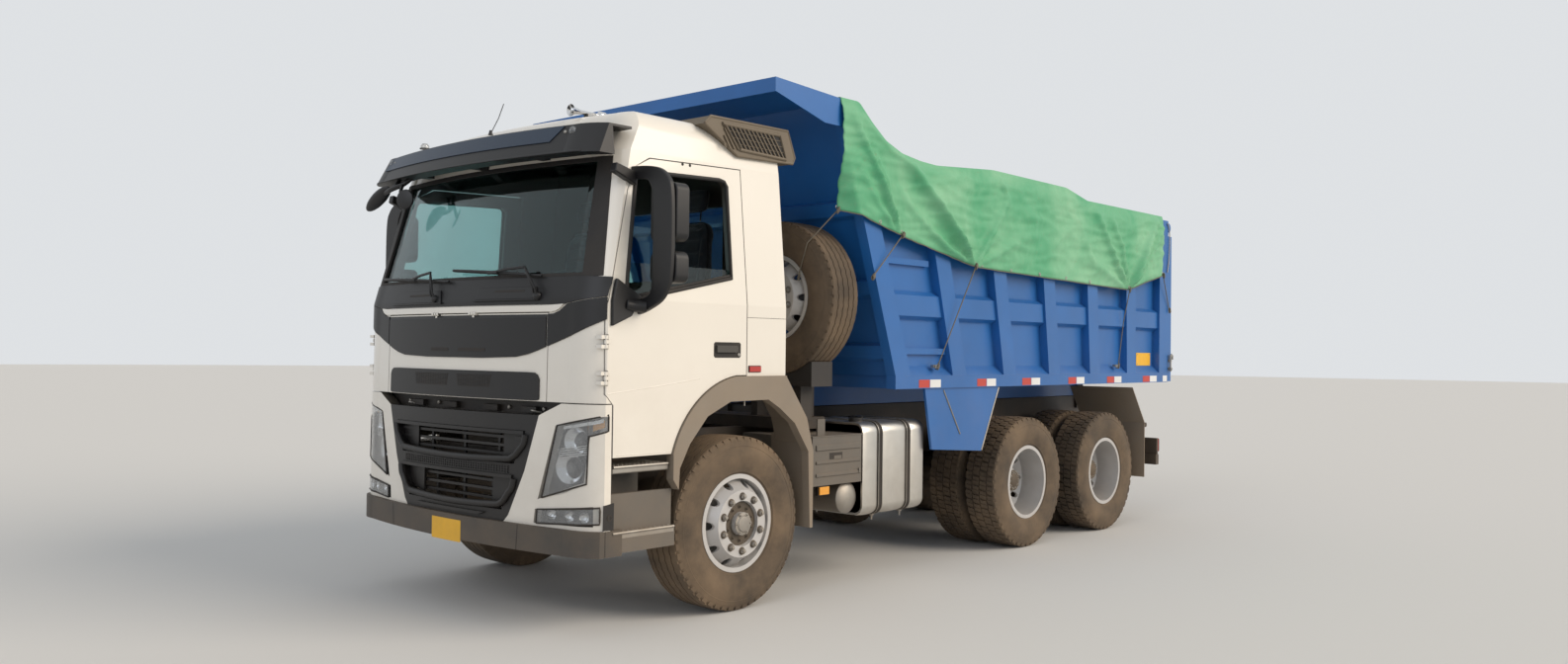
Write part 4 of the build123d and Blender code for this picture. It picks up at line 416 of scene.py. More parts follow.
world = bpy.data.worlds.new("studio")
bpy.context.scene.world = world
world.use_nodes = True
sky = world.node_tree
sky.nodes.clear()
path = add(sky, "LightPath")
straight = add(sky, "Math", {0: path.outputs["Is Camera Ray"], 1: path.outputs["Is Transmission Ray"]},
               operation="MAXIMUM")
seen = add(sky, "Math", {0: straight, 1: path.outputs["Is Glossy Ray"]}, operation="MAXIMUM")
strength = add(sky, "MapRange", {0: seen, 1: 0.0, 2: 1.0, 3: 0.52, 4: 0.86})
surround = add(sky, "Background", {"Color": linear("#EEF1F4"), "Strength": strength})
add(sky, "OutputWorld", {"Surface": surround})


def soft_sun(name, comes_from, power, width, tint):
    """Even light from one direction, as wide across as the given angle in degrees."""
    lamp = bpy.data.objects.new(name, bpy.data.lights.new(name, "SUN"))
    bpy.context.scene.collection.objects.link(lamp)
    lamp.data.energy, lamp.data.angle, lamp.data.color = power, math.radians(width), linear(tint)[:3]
    lamp.rotation_euler = (-Vector(comes_from)).to_track_quat("-Z", "Y").to_euler()


soft_sun("lamp_left", (-0.5, 1.0, 0.6), 2.3, 40, "#FFF1DF")
soft_sun("lamp_front", (1.0, 0.15, 0.5), 0.55, 40, "#F0F4FF")
bpy.context.scene.view_settings.view_transform = "Standard"

# %% [markdown]
# ## How the added pieces are made
# Most of the small pieces on a truck are flat plates, turned parts, bent rod or pressed strips. One helper
# makes each kind of form. Another closes the mesh, rounds its edges, dresses it and fixes it to the body it
# moves with.

# %% Places and skins
FORWARD, UPWARD = Matrix.Rotation(-math.pi / 2, 4, "Z"), Matrix.Rotation(math.pi / 2, 4, "X")


def at(spot, facing=Matrix()):
    """The place of a turned part: where its foot stands and which way it looks."""
    return Matrix.Translation(spot) @ facing


def bands(bm, rings, index=0):
    """Four-sided faces between each ring of vertices and the next."""
    for low, high in zip(rings, rings[1:]):
        for quad in zip(low, low[1:] + low[:1], high[1:] + high[:1], high):
            bm.faces.new(quad).material_index = index


def skinned(bm, rings, index=0):
    """A closed skin over rings of vertices."""
    for ring in (rings[0], rings[-1]):
        bm.faces.new(ring).material_index = index
    bands(bm, rings, index)


# %% Plates and blocks
def prism(bm, outline, start, end, plane="XZ", index=0):
    """An outline in the plane XZ or YZ, filled between two places along the third axis."""
    order = (0, 2, 1) if plane == "XZ" else (2, 0, 1)
    rings = [[bm.verts.new([(a, b, c)[i] for i in order]) for a, b in outline] for c in (start, end)]
    skinned(bm, rings, index)


def block(bm, x, y, z, index=0):
    """A block between two x, two y and two z."""
    prism(bm, [(x[0], z[0]), (x[1], z[0]), (x[1], z[1]), (x[0], z[1])], y[0], y[1], index=index)


# %% Turned parts
def turned(bm, profile, place=Matrix(), steps=48, index=0, closed=False):
    """A half section of (along, radius) points turned round the Y axis, then put in its place."""
    rings = []
    for along, radius in profile:
        turns = [2 * math.pi * i / steps for i in range(steps if radius else 1)]
        spots = [Vector((radius * math.cos(t), along, radius * math.sin(t))) for t in turns]
        ring = [bm.verts.new(place @ spot) for spot in spots]
        rings.append(ring if radius else ring * steps)
    for inner, outer in zip(rings, rings[1:] + rings[:1] if closed else rings[1:]):
        for i in range(steps):
            after = (i + 1) % steps
            corners = list(dict.fromkeys((inner[i], inner[after], outer[after], outer[i])))
            bm.faces.new(corners).material_index = index


# %% Rods
def swept(bm, points, radius, sides=8, index=0):
    """A round rod along a run of points, closed at both ends."""
    points = [Vector(point) for point in points]
    rings, across = [], None
    for i, point in enumerate(points):
        along = (points[min(i + 1, len(points) - 1)] - points[max(i - 1, 0)]).normalized()
        across = along.orthogonal() if across is None else across - along * across.dot(along)
        across.normalize()
        other = along.cross(across)
        turns = [2 * math.pi * k / sides for k in range(sides)]
        spots = [point + radius * (across * math.cos(t) + other * math.sin(t)) for t in turns]
        rings.append([bm.verts.new(spot) for spot in spots])
    skinned(bm, rings, index)


# %% Joining, sharing out and smoothing
def join(bm, other):
    """Adds a finished form to a piece."""
    mesh = bpy.data.meshes.new("joined")
    other.to_mesh(mesh)
    other.free()
    bm.from_mesh(mesh)
    bpy.data.meshes.remove(mesh)


def around(count, start=0.0):
    """The turns about the Y axis that share a full circle out evenly."""
    return [Matrix.Rotation(2 * math.pi * (i + start) / count, 4, "Y") for i in range(count)]


def curve(points, steps=6):
    """A smooth run of points through the given ones."""
    points = [Vector(point) for point in points]
    ends = [points[0]] + points + [points[-1]]
    run = []
    for a, b, c, d in zip(ends, ends[1:], ends[2:], ends[3:]):
        for i in range(steps):
            t = i / steps
            run.append(0.5 * (2 * b + (c - a) * t + (2 * a - 5 * b + 4 * c - d) * t ** 2
                              + (3 * b - a - 3 * c + d) * t ** 3))
    return run + [points[-1]]


# %% Closing, dressing and fixing a piece
def piece(name, bm, materials, body, sharp=40, bevel=0.0, place=None):
    """A closed mesh with its materials, its edges rounded by bevel metres, riding on a body."""
    if place:
        bm.transform(place)
    bmesh.ops.recalc_face_normals(bm, faces=bm.faces)
    mesh = bpy.data.meshes.new(name)
    bm.to_mesh(mesh)
    bm.free()
    for material in materials:
        mesh.materials.append(material)
    mesh.shade_smooth()
    mesh.set_sharp_from_angle(angle=math.radians(sharp))
    thing = bpy.data.objects.new(name, mesh)
    bpy.context.scene.collection.objects.link(thing)
    if bevel:
        rounding = thing.modifiers.new("edges", "BEVEL")
        rounding.width, rounding.segments, rounding.limit_method = bevel, 2, "ANGLE"
        rounding.harden_normals = True
    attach(thing, body)
    print(f"{name}: {len(mesh.polygons)} faces, rides on {body}")
    return thing


# %% [markdown]
# ## Tyres
# A truck tyre is vulcanised in a steel mould that presses its tread. The front and spare tyres have ribs
# that run round between zigzag grooves, for straight running on road. The driven ones have rows of separate
# blocks that bite into earth. The grooves are 13.5 mm deep in the middle, and the walls carry raised rings
# only.

# %% A tyre's measures
TYRE_RADIUS, TREAD_FOOT, TREAD_HALF = 0.538, 0.520, 0.126
RIBS = ((-0.126, -0.084), (-0.076, -0.031), (-0.023, 0.023), (0.031, 0.076), (0.084, 0.126))
ROWS = ((-0.126, -0.072, 0.0), (-0.064, -0.004, 0.5), (0.004, 0.064, 0.0), (0.072, 0.126, 0.5))
ZIGZAGS, SCALLOPS, BLOCKS = 54, 54, 44
WALL = ((0.118, 0.2863), (0.120, 0.300), (0.128, 0.311), (0.1345, 0.315), (0.1355, 0.322), (0.1405, 0.338),
        (0.149, 0.365), (0.1545, 0.395), (0.1558, 0.419), (0.1545, 0.440), (0.150, 0.463), (0.1475, 0.472),
        (0.1492, 0.4755), (0.1475, 0.479), (0.1435, 0.495), (0.139, 0.508), (0.134, 0.517), (0.126, 0.524))
# A shoulder lug's foot and top: the radius at its inner edge, its outer edge across, the radius there.
LUG_INNER, LUG = 0.120, ((0.512, 0.1415, 0.505), (0.5342, 0.1345, 0.529))


# %% Carcass and shoulder lugs
def crown(y):
    """The tread's radius at a place across it: highest in the middle."""
    return TYRE_RADIUS - 0.0005 - 0.0035 * (y / TREAD_HALF) ** 2


def carcass(bm):
    """Beads, bulging walls with two raised rings each, and the groove floor."""
    turned(bm, list(WALL) + [(-y, r) for y, r in WALL[::-1]], steps=72, closed=True)


def lump(bm, corners):
    """A lump of rubber given as (across, angle, radius) at its four corners, first below and then on top."""
    verts = [bm.verts.new((r * math.sin(a), y, r * math.cos(a))) for y, a, r in corners]
    for loop in ((0, 1, 2, 3), (4, 5, 6, 7), (0, 1, 5, 4), (1, 2, 6, 5), (2, 3, 7, 6), (3, 0, 4, 7)):
        bm.faces.new([verts[i] for i in loop])


def shoulder_lugs(bm, count, share):
    """The notches that break the tread's outer corners, as lugs between them."""
    pitch = 2 * math.pi / count
    for i in range(count):
        first, last = (i - share / 2) * pitch, (i + share / 2) * pitch
        corners = []
        for inner, edge, outer in LUG:
            corners += [(LUG_INNER, first, inner), (edge, first, outer)]
            corners += [(edge, last, outer), (LUG_INNER, last, inner)]
        for way in (1, -1):
            lump(bm, [(way * y, a, r) for y, a, r in corners])


# %% Two treads
def ribbed_tread(bm):
    """Five ribs round the tyre, their edges going from side to side."""
    steps = 2 * ZIGZAGS
    for left, right in RIBS:
        rings = []
        section = (left, TREAD_FOOT), (left, crown(left)), (right, crown(right)), (right, TREAD_FOOT)
        for edge, radius in section:
            swing = 0.0 if abs(edge) == TREAD_HALF else 0.0032
            turns = [2 * math.pi * i / steps for i in range(steps)]
            rings.append([bm.verts.new((radius * math.sin(a), edge + swing * (-1) ** i, radius * math.cos(a)))
                          for i, a in enumerate(turns)])
        bands(bm, rings)
        bands(bm, [rings[0], rings[-1]])
    shoulder_lugs(bm, SCALLOPS, 0.66)


def blocked_tread(bm):
    """Four rows of slanted blocks, each split by a thin cut, and lugs on the shoulders."""
    pitch = 2 * math.pi / BLOCKS
    lean = 0.07 * pitch
    for left, right, start in ROWS:
        for i in range(BLOCKS):
            for first, last in ((-0.40, -0.02), (0.02, 0.40)):
                a0, a1 = (i + start + first) * pitch, (i + start + last) * pitch
                corners = [(left, a0 - lean), (right, a0 + lean), (right, a1 + lean), (left, a1 - lean)]
                lump(bm, [(y, a, TREAD_FOOT) for y, a in corners] + [(y, a, crown(y)) for y, a in corners])
    shoulder_lugs(bm, BLOCKS, 0.62)


# %% All eleven tyres
def wheel_place(x, y, z=WHEEL_Z):
    """A wheel's middle, turned so that its outer face looks away from the truck."""
    return at((x, y, z), Matrix.Rotation(0 if y > 0 else math.pi, 4, "Z"))


SPARE_PLACE = at((1.430, 0.720, 1.970), FORWARD)
FRONT_TRACK, TWIN_MIDDLE, TWIN_OFFSET = 1.072, 0.903, 0.175
DRIVEN = ((MID_AXLE, "mid"), (REAR_AXLE, "rear"))
TYRES = [(f"front_{name}", f"tyre_front_{name}", ribbed_tread, [wheel_place(FRONT_AXLE, way * FRONT_TRACK)],
          f"wheel_front_{name}") for way, name in SIDES]
for x, axle in DRIVEN:
    for way, name in SIDES:
        twins = [wheel_place(x, way * (TWIN_MIDDLE + offset)) for offset in (TWIN_OFFSET, -TWIN_OFFSET)]
        label = f"{axle}_{name}"
        TYRES.append((label, f"tyres_{label}", blocked_tread, twins, f"wheels_{label}"))
TYRES.append(("spare", "spare_tyre", ribbed_tread, [SPARE_PLACE], "chassis"))
for name, solid, tread, places, body in TYRES:
    bm = bmesh.new()
    for place in places:
        tyre = bmesh.new()
        carcass(tyre)
        tread(tyre)
        tyre.transform(place)
        join(bm, tyre)
    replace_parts(piece(f"tread_{name}", bm, [tyre_rubber], body, sharp=32), solid)
print("tyres:", sum(len(row[3]) for row in TYRES))

# %% [markdown]
# ## Wheel nuts and hub caps
# Each disc is held by ten M22 nuts on a circle of 335 mm. The front hub ends in a pressed cap with six
# small bolts, set in a dark cast hub. The drive hubs end in the axle shaft's forged flange, bolted on all
# round.

# %% One nut on its stud
NUT_CIRCLE = 0.1675


def nut(bm, place, face, corner=0.0185, height=0.022, index=0, ring=None):
    """A washer, a hexagon nut and the stud's end, standing on a face that looks along Y."""
    washer, top = corner + 0.006, face + height
    turned(bm, [(face - 0.002, 0), (face - 0.002, washer), (face + 0.003, washer), (face + 0.003, 0)],
           place, 20, index if ring is None else ring)
    turned(bm, [(face, 0), (face, corner), (face + height * 0.85, corner), (top, corner * 0.84), (top, 0)],
           place, 6, index)
    turned(bm, [(face, 0), (face, corner * 0.55), (top + 0.006, corner * 0.55), (top + 0.008, 0)],
           place, 12, index)


# %% Two kinds of hub
def front_hub(bm, face):
    """Ten nuts, the dark hub round the cap, the cap and its bolts; face is the flange's outer face."""
    for turn in around(10, 0.5):
        nut(bm, turn @ at((NUT_CIRCLE, 0, 0)), face, ring=1)
    sunk = face - 0.0235
    turned(bm, [(sunk - 0.0011, 0.071), (sunk, 0.071), (sunk, 0.136), (sunk - 0.0011, 0.136)], index=1,
           closed=True)
    turned(bm, [(face, 0), (face, 0.069), (face + 0.010, 0.069), (face + 0.011, 0.060), (face + 0.012, 0.052),
                (face + 0.019, 0.046), (face + 0.021, 0.030), (face + 0.021, 0)], steps=40)
    for turn in around(6):
        nut(bm, turn @ at((0.060, 0, 0)), face + 0.010, 0.006, 0.006, 0)
    for turn in around(10, 0.5):
        nut(bm, turn @ at((0.104, 0, 0)), sunk, 0.008, 0.009, 1)


def drive_hub(bm):
    """Ten nuts on the discs and the shaft flange with its bolts; the discs meet in the plane y = 0."""
    for turn in around(10, 0.5):
        nut(bm, turn @ at((NUT_CIRCLE, 0, 0)), 0.014, height=0.026, ring=1)
    turned(bm, [(0.165, 0), (0.165, 0.086), (0.174, 0.084), (0.176, 0.058), (0.183, 0.050), (0.185, 0)],
           steps=40, index=1)
    for turn in around(10):
        nut(bm, turn @ at((0.070, 0, 0)), 0.174, 0.008, 0.008, 0)


# %% Hubs and nuts on the truck
hub_finishes = [zinc_steel, cast_iron]
for way, name in SIDES:
    bm = bmesh.new()
    front_hub(bm, 0.165)
    piece(f"hub_front_{name}", bm, hub_finishes, f"wheel_front_{name}",
          place=wheel_place(FRONT_AXLE, way * FRONT_TRACK))
    for x, axle in DRIVEN:
        bm = bmesh.new()
        drive_hub(bm)
        piece(f"hub_{axle}_{name}", bm, hub_finishes, f"wheels_{axle}_{name}",
              place=wheel_place(x, way * TWIN_MIDDLE))
bm = bmesh.new()
for turn in around(10, 0.5):
    nut(bm, turn @ at((NUT_CIRCLE, 0, 0)), 0.165)
piece("nuts_spare", bm, hub_finishes, "chassis", place=SPARE_PLACE)

# %% [markdown]
# ## The cab's nose as a surface
# The nose is one gently bowed sheet whose corners turn back to the doors. Bumper and visor follow the same
# plan, further out. Panels, stripes, lamps and wipers all lie on it, so their places are given as a tape laid
# on it would measure them: how far round the nose from its middle, how high, and how far off the skin.

# %% Levels of the nose, visor and bumper
# Levels as (height, how far forward the nose's middle is, half width).
CAB_LEVELS = ((1.000, 3.657, CAB_HALF), (1.880, 3.645, CAB_HALF), (2.740, 3.435, 1.155),
              (2.995, 3.295, 1.110))
VISOR_LEVELS = ((2.690, 3.680, 1.180), (2.865, 3.595, 1.158))
BUMPER_LEVELS = ((0.455, 3.685, CAB_HALF), (0.600, 3.685, CAB_HALF))
NOSE_BOW, CORNER_WIDTH, CORNER_LENGTH = 0.087, 0.215, 0.090


# %% The plan, from the middle round a corner
def circle_through(a, b, c):
    """Middle of the circle through three points in plan."""
    squares = [x * x + y * y for x, y in (a, b, c)]
    twice = 2 * (a[0] * (b[1] - c[1]) + b[0] * (c[1] - a[1]) + c[0] * (a[1] - b[1]))
    x = (squares[0] * (b[1] - c[1]) + squares[1] * (c[1] - a[1]) + squares[2] * (a[1] - b[1])) / twice
    y = (squares[0] * (c[0] - b[0]) + squares[1] * (a[0] - c[0]) + squares[2] * (b[0] - a[0])) / twice
    return x, y


@functools.lru_cache(maxsize=None)
def front_plan(nose, half):
    """Points in plan from the nose's middle round a corner to the cab's back, and the way to each."""
    side_x, side_y = nose - NOSE_BOW, half - CORNER_WIDTH
    radius = (side_y ** 2 + NOSE_BOW ** 2) / (2 * NOSE_BOW)
    turns = [math.asin(side_y / radius) * i / 30 for i in range(30)]
    points = [(nose - radius * (1 - math.cos(t)), radius * math.sin(t)) for t in turns]
    start, end = (side_x, side_y), (side_x - CORNER_LENGTH, half)
    middle = circle_through(start, (side_x - 0.35 * CORNER_LENGTH, half - 0.36 * CORNER_WIDTH), end)
    radius = math.dist(middle, start)
    first, last = (math.atan2(y - middle[1], x - middle[0]) for x, y in (start, end))
    for i in range(13):
        t = first + (last - first) * i / 12
        points.append((middle[0] + radius * math.cos(t), middle[1] + radius * math.sin(t)))
    points.append((CAB_BACK, half))
    way = [0.0]
    for a, b in zip(points, points[1:]):
        way.append(way[-1] + math.dist(a, b))
    return points, way


# %% The skin between two levels
def skin(levels):
    """The surface through (height, nose, half width) levels, as a function of along, height and out."""
    def point(along, height, out=0.0):
        low, high = next((pair for pair in zip(levels, levels[1:]) if height <= pair[1][0]), levels[-2:])
        share = (height - low[0]) / (high[0] - low[0])
        nose, half = (round(a + share * (b - a), 5) for a, b in zip(low[1:], high[1:]))
        points, way = front_plan(nose, half)
        far = min(abs(along), way[-1] - 1e-6)
        i = bisect.bisect_right(way, far) - 1
        (ax, ay), (bx, by) = points[i:i + 2]
        t = (far - way[i]) / (way[i + 1] - way[i])
        x, y = ax + t * (bx - ax), ay + t * (by - ay)
        away = Vector((by - ay, ax - bx, 0)).normalized()
        if 0 < i < len(points) - 2:
            before, after = (Vector((q[1] - p[1], p[0] - q[0], 0)).normalized()
                             for p, q in ((points[i - 1], points[i]), (points[i + 1], points[i + 2])))
            away = (before.lerp(away, 0.5 + t / 2) + away.lerp(after, t / 2)).normalized()
        return Vector((x + away.x * out, math.copysign(1, along) * (y + away.y * out), height))
    return point


cab_skin, visor_skin, bumper_skin = skin(CAB_LEVELS), skin(VISOR_LEVELS), skin(BUMPER_LEVELS)
print("nose: round to the cab's back", round(front_plan(CAB_LEVELS[0][1], CAB_HALF)[1][-1], 3), "m a side")


# %% One panel that lies on the nose
def panel(bm, low, high, out, rows=1, index=0, step=0.04, surface=cab_skin):
    """A sheet between two runs of (along, height) points, from out[0] to out[1] off the skin."""
    columns = []
    for (a, b), (c, d) in zip(zip(low, low[1:]), zip(high, high[1:])):
        count = max(1, math.ceil(max(abs(b[0] - a[0]), abs(d[0] - c[0])) / step))
        for i in range(count + (b == low[-1] and d == high[-1])):
            t = i / count
            columns.append([tuple(p + t * (q - p) for p, q in zip(*pair)) for pair in ((a, b), (c, d))])
    back, front = ([[bm.verts.new(surface(*(p + (q - p) * k / rows for p, q in zip(under, over)), off))
                     for k in range(rows + 1)] for under, over in columns] for off in out)
    faces = []
    for grid in (back, front):
        for left, right in zip(grid, grid[1:]):
            faces += [bm.faces.new((left[k], right[k], right[k + 1], left[k + 1])) for k in range(rows)]
    for k in range(rows):
        for i in (0, -1):
            faces.append(bm.faces.new((back[i][k], back[i][k + 1], front[i][k + 1], front[i][k])))
    for i in range(len(columns) - 1):
        for k in (0, -1):
            faces.append(bm.faces.new((back[i][k], back[i + 1][k], front[i + 1][k], front[i][k])))
    for face in faces:
        face.material_index = index


# %% Strips, sides and bands
def strip(bm, along, heights, out, rows=1, index=0, step=0.04, surface=cab_skin):
    """A panel with two upright ends: its two places along and its two heights."""
    panel(bm, *([(s, z) for s in along] for z in heights), out, rows, index, step, surface)


def on_side(way, run):
    """A run of (along, height) points, taken to the side that way names."""
    return [(way * s, z) for s, z in run]


def both_ways(points):
    """A run given for the left half, carried on over the middle to the right half."""
    return on_side(-1, points[::-1]) + list(points)


def band(bm, edge, out, rows):
    """A panel across the whole nose, from (along, low, high) points of its left half."""
    low, high = ([(s, heights[k]) for s, *heights in edge] for k in (0, 1))
    panel(bm, both_ways(low), both_ways(high), out, rows)


# %% [markdown]
# ## Front panels
# Under the windscreen lies a moulded black band that covers the wipers' gear. Below it come a painted
# stripe and a broad black panel that runs into the corners. A lower panel carries two meshes that feed the
# heater. The middle parts lift with the hatch.

# %% Band under the windscreen
PROUD = (-0.004, 0.009)
COWL = ((0.97, 1.849, 2.006), (1.084, 1.868, 2.006), (1.258, 1.892, 2.000))
CORNER = ((0.855, 1.613, 1.794), (0.900, 1.627, 1.797), (0.945, 1.642, 1.812), (1.000, 1.661, 1.850),
          (1.084, 1.691, 1.864), (1.258, 1.764, 1.888))
bm = bmesh.new()
band(bm, COWL, (-0.004, 0.010), 10)
for way in (1, -1):
    panel(bm, *([(way * s, heights[k]) for s, *heights in CORNER] for k in (0, 1)), PROUD, 6)
piece("cowl_band", bm, [black_abs], "chassis", bevel=0.002)

# %% Panels of the hatch
HATCH_LOW = ((0.30, 1.540), (0.60, 1.549), (0.70, 1.566), (0.78, 1.588), (0.845, 1.610))
HATCH_TAPER, HATCH_TOP = 1.773, 1.793
LOWER_PANEL = ((0.70, 1.304, 1.464), (0.760, 1.304, 1.462), (0.785, 1.306, 1.450), (0.800, 1.312, 1.424))
bm = bmesh.new()
band(bm, [(s, z, HATCH_TAPER) for s, z in HATCH_LOW], PROUD, 4)
band(bm, [(s, HATCH_TAPER, HATCH_TOP) for s, _ in HATCH_LOW], PROUD, 1)
for vertex in bm.verts:
    if vertex.co.z > HATCH_TOP - 0.003:
        vertex.co.x -= 0.0085  # the top edge leans back, so it turns clear under the stripe
band(bm, LOWER_PANEL, PROUD, 3)
for along in ((-0.244, -0.049), (0.059, 0.328)):
    strip(bm, along, (1.577, 1.598), (0.0, 0.0105), index=1)
MESH_LOW, MESH_TOP, MESH_TILT = 1.370, 1.443, 0.018
for first, last in ((-0.441, -0.038), (0.045, 0.393)):
    low = [(first + MESH_TILT, MESH_LOW), (last - MESH_TILT, MESH_LOW)]
    panel(bm, low, [(first, MESH_TOP), (last, MESH_TOP)], (0.0, 0.0098), index=1)
    for i in range(9):
        z = MESH_LOW + 0.005 + i * 0.008
        inset = MESH_TILT * (MESH_TOP - z) / (MESH_TOP - MESH_LOW) + 0.006
        strip(bm, (first + inset, last - inset), (z, z + 0.003), (0.0, 0.0115), step=0.08)
    for i in range(13):
        s = first + 0.03 + i * (last - first - 0.06) / 12
        strip(bm, (s - 0.001, s + 0.001), (MESH_LOW + 0.002, MESH_TOP - 0.002), (0.0, 0.011))
piece("hatch_panels", bm, [black_abs, seal_rubber], "front_hatch", bevel=0.0015)

# %% Painted stripe
STRIPE = ((0.80, 1.8065, 1.8435), (0.888, 1.807, 1.846), (0.915, 1.811, 1.8475), (0.945, 1.823, 1.849),
          (0.972, 1.846, 1.8505))
bm = bmesh.new()
band(bm, STRIPE, (-0.004, 0.013), 3)
piece("nose_stripe", bm, [cab_enamel], "chassis", bevel=0.003)

# %% [markdown]
# ## Windscreen surround and wipers
# The pane is glued in, and a black printed border with a rubber edge hides the glue. Two wipers rest at its
# foot: a cast arm with an elbow, and a blade with a rubber lip. Their gear sits under raised boxes in the
# band.

# %% Windscreen surround
PANE_SIDE = ((1.075, 2.000), (1.045, 2.240), (1.022, 2.460), (0.995, 2.700))
BORDER_SIDE = ((1.206, 2.006), (1.168, 2.240), (1.132, 2.460), (1.095, 2.700))
bm = bmesh.new()
for way in (1, -1):
    panel(bm, on_side(way, PANE_SIDE), on_side(way, BORDER_SIDE), (-0.013, 0.004), 4)
strip(bm, (-1.09, 1.09), (2.000, 2.026), (-0.013, 0.003), 2)
strip(bm, (-1.00, 1.00), (2.672, 2.700), (-0.013, 0.003), 2)
piece("windscreen_border", bm, [seal_rubber], "chassis", bevel=0.0015)

# %% Wiper boxes
bm = bmesh.new()
for first, last, low, high in ((-0.747, -0.133, 1.874, 1.948), (0.230, 0.779, 1.882, 1.952)):
    panel(bm, [(first, low), (last, low)], [(first + 0.01, high), (last - 0.03, high)], (0.0, 0.020), 2)
    middle = (first + last) / 2
    strip(bm, (middle - 0.10, middle + 0.16), (low + 0.040, low + 0.054), (0.01, 0.0215), index=1)
    strip(bm, (first - 0.02, last + 0.01), (low - 0.010, low), (0.0, 0.026))
piece("wiper_boxes", bm, [black_abs, seal_rubber], "chassis", bevel=0.003)

# %% Wipers
# Pivot, elbow, and the blade's two ends, as (along, height).
WIPERS = (((-0.207, 1.896), (-0.283, 2.063), (-1.013, 2.047), (-0.071, 2.001)),
          ((0.775, 1.897), (0.653, 2.065), (-0.050, 2.069), (0.792, 2.012)))
bm = bmesh.new()
for pivot, elbow, start, end in WIPERS:
    base, knee = cab_skin(*pivot, 0.010), cab_skin(*elbow, 0.050)
    turned(bm, [(0, 0), (0, 0.026), (0.022, 0.024), (0.030, 0.014), (0.030, 0)], at(base, FORWARD), 20)
    for shift in (-0.010, 0.010):
        swept(bm, [base + Vector((0.02, shift, 0)), cab_skin(*pivot, 0.045) + Vector((0, shift, 0.04)), knee],
              0.007, 6)
    run = [cab_skin(*(a + (b - a) * i / 14 for a, b in zip(start, end)), 0.0) for i in range(15)]
    bowed = [0.004 * math.sin(math.pi * i / 14) for i in range(15)]
    swept(bm, [p + Vector((0.030, 0, bow)) for p, bow in zip(run, bowed)], 0.008, 6)
    swept(bm, [p + Vector((0.022, 0, -0.007)) for p in run], 0.0045, 4, index=1)
    middle = run[7] + Vector((0.035, 0, 0.002))
    swept(bm, [knee, knee.lerp(middle, 0.5) + Vector((0.006, 0, 0.004)), middle], 0.009, 6)
    swept(bm, [middle + Vector((0, y, 0)) for y in (-0.05, 0.05)], 0.012, 6)
piece("wipers", bm, [black_abs, seal_rubber], "chassis", sharp=50)

# %% [markdown]
# ## Sun visor
# The visor is vacuum-formed black ABS in two facets, held on brackets over the windscreen; the upper facet,
# which looks up, is drawn slate blue as a painted reflection of the sky.
# It has a small marker lamp at each end. A kerb mirror hangs below it on the right and shows the corner that
# the cab hides.

# %% Sun visor
# The upper facet's slate blue is a painted reflection of the sky.
bm = bmesh.new()
panel(bm, [(-1.02, 2.772), (0.0, 2.770), (0.83, 2.768)], [(-0.98, 2.860), (0.0, 2.861), (0.90, 2.861)],
      (-0.002, 0.006), 3, surface=visor_skin)
piece("visor_facet_painted_sky_reflection", bm, [visor_abs_painted_sky_reflection], "chassis", bevel=0.003)

# %% Visor brackets
bm = bmesh.new()
strip(bm, (-1.10, 1.10), (2.692, 2.702), (-0.004, 0.004), surface=visor_skin)
for y in (-0.62, 0.0, 0.62):
    prism(bm, [(3.44, 2.70), (3.60, 2.70), (3.60, 2.78), (3.44, 2.80)], y - 0.035, y + 0.035)
piece("visor_brackets", bm, [black_abs], "chassis", bevel=0.002)

# %% Visor lamps
bm = bmesh.new()
for way in (1, -1):
    for s, radius, index in ((0.975, 0.022, 0), (0.918, 0.009, 1)):
        place = at(visor_skin(way * s, 2.822, -0.004), Matrix.Rotation(-math.pi / 2 + way * 0.12, 4, "Z"))
        section = ((0, 0), (0, 1.25), (0.006, 1.2), (0.007, 1), (0.011, 0.7), (0.012, 0))
        turned(bm, [(h, radius * share) for h, share in section], place, 24, index)
piece("visor_lamps", bm, [clear_lens, zinc_steel], "chassis", sharp=50)

# %% Kerb mirror
bm = bmesh.new()
for line, radius, sides in (
        ([(3.56, -0.66, 2.70), (3.60, -0.70, 2.655), (3.63, -0.80, 2.625), (3.60, -0.93, 2.61)], 0.016, 10),
        ([(3.56, -0.80, 2.70), (3.60, -0.78, 2.66), (3.63, -0.80, 2.625)], 0.012, 10),
        ([(3.60, -0.70, 2.655), (3.64, -0.66, 2.60), (3.645, -0.62, 2.565)], 0.012, 8)):
    swept(bm, curve(line), radius, sides)
bowl = bmesh.new()
bmesh.ops.create_uvsphere(bowl, u_segments=28, v_segments=14, radius=1)
for vertex in bowl.verts:
    x, y, z = vertex.co
    vertex.co = (0.045 * x, 0.150 * y * (1 - 0.25 * z), 0.072 * z if z > 0 else 0.030 * z)
bowl.transform(at((3.605, -1.00, 2.585), Matrix.Rotation(0.45, 4, "X") @ Matrix.Rotation(-0.9, 4, "Y")))
join(bm, bowl)
turned(bm, [(0, 0), (0, 0.066), (0.010, 0.062), (0.016, 0.040), (0.018, 0)],
       at((3.640, -0.60, 2.545), Matrix.Rotation(-1.2, 4, "Z")), 32)
piece("kerb_mirror", bm, [black_abs], "chassis", sharp=50)

# %% [markdown]
# ## Grille and the gap above it
# The grille is one large ABS moulding. Each of its two openings has a thick rounded lip that runs down both
# ends and along the bottom, closed fillets behind the ends, and a fine mesh band between the two. Over it,
# an open gap shows the dark cross beam with the hatch's catches.


